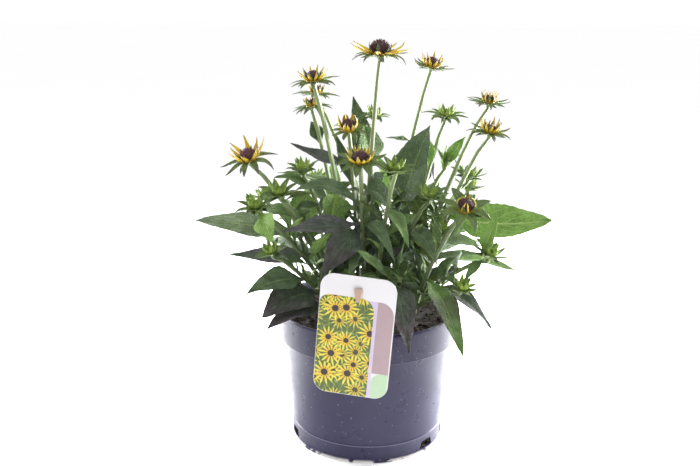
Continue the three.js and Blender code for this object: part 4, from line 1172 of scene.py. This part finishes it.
for name, group, slot_name, hairs_a_stem in (
    ("hairs_of_blooms", blooms, "flower_stem_green", 230),
    ("hairs_of_shoots", shoots, "young_green", 150),
):
    hairs = bmesh.new()
    for stem in group:
        tuft = bmesh.new()
        for k in range(hairs_a_stem):
            share = 0.2 + 0.76 * stem.draw(k, 71) ** 0.8
            here = stem.at(share)
            way = (stem.at(share + 0.02) - here).normalized()
            out = out_of(way, 6.28 * stem.draw(k, 72))
            radius = STEM_FOOT + (STEM_TOP - STEM_FOOT) * share
            point_to = (out + way * (0.5 * stem.draw(k, 73) - 0.1)).normalized()
            long = 0.7 + 0.8 * stem.draw(k, 74)
            stand = point_to.to_track_quat("Z", "Y").to_matrix().to_4x4()
            stand.translation = here + out * (radius * 0.9) + point_to * long * 0.5
            bmesh.ops.create_cone(tuft, cap_ends=True, segments=3, radius1=HAIR_THICK,
                                  radius2=0.0, depth=long, matrix=stand)
        joined(hairs, tuft)
    finish_piece(name, hairs, [hair_finish], slot_name)


# Floor, light and camera
# A white floor under a bright overcast light. Two broad soft lights behind the pot leave
# white edges on its sides, a weak one above fills in the front, and the camera looks a
# little down.
floor_mesh = bmesh.new()
bmesh.ops.create_grid(floor_mesh, x_segments=1, y_segments=1, size=6)
mesh = bpy.data.meshes.new("floor")
floor_mesh.to_mesh(mesh)
floor_mesh.free()
floor = bpy.data.objects.new("floor", mesh)
bpy.context.scene.collection.objects.link(floor)
mesh.materials.append(cloudy_finish("floor_white", (0.93, 0.93, 0.93, 1), (0.95, 0.95, 0.95, 1), 3,
                                    0.9))

world = bpy.data.worlds.new("studio")
world.use_nodes = True
world.node_tree.nodes["Background"].inputs["Color"].default_value = (1, 1, 1, 1)
world.node_tree.nodes["Background"].inputs["Strength"].default_value = 1.05
bpy.context.scene.world = world

for name, spot, aim_at, size, power in (
    ("left_edge_light", (-0.55, 0.48, 0.12), (-0.1, 0, 0.07), 0.6, 38),
    ("right_edge_light", (0.58, 0.45, 0.12), (0.1, 0, 0.07), 0.6, 74),
    ("top_light", (0.1, -0.7, 1.3), (0, 0, 0.15), 0.9, 4),
):
    lamp = bpy.data.lights.new(name, "AREA")
    lamp.size = size
    lamp.energy = power
    light = bpy.data.objects.new(name, lamp)
    light.location = spot
    light.visible_camera = False
    aim = Vector(aim_at) - Vector(spot)
    light.rotation_euler = aim.to_track_quat("-Z", "Y").to_euler()
    bpy.context.scene.collection.objects.link(light)

PITCH = math.radians(16.12)
ROLL = math.radians(0.31)
CAMERA_PLACE = (-17.3, -836.2, 436.1)
lens = bpy.data.cameras.new("camera")
lens.lens = 48.86
lens.sensor_width = 36
lens.clip_start = 0.01
camera = bpy.data.objects.new("camera", lens)
level = Vector((0, math.sin(PITCH), math.cos(PITCH)))
right = Vector((1, 0, 0)) * math.cos(ROLL) + level * math.sin(ROLL)
upright = level * math.cos(ROLL) - Vector((1, 0, 0)) * math.sin(ROLL)
ahead = Vector((0, math.cos(PITCH), -math.sin(PITCH)))
stand = Matrix((right, upright, -ahead)).transposed().to_4x4()
stand.translation = Vector(CAMERA_PLACE) * MM
camera.matrix_world = stand
bpy.context.scene.collection.objects.link(camera)
bpy.context.scene.camera = camera
bpy.context.scene.view_settings.view_transform = "Standard"
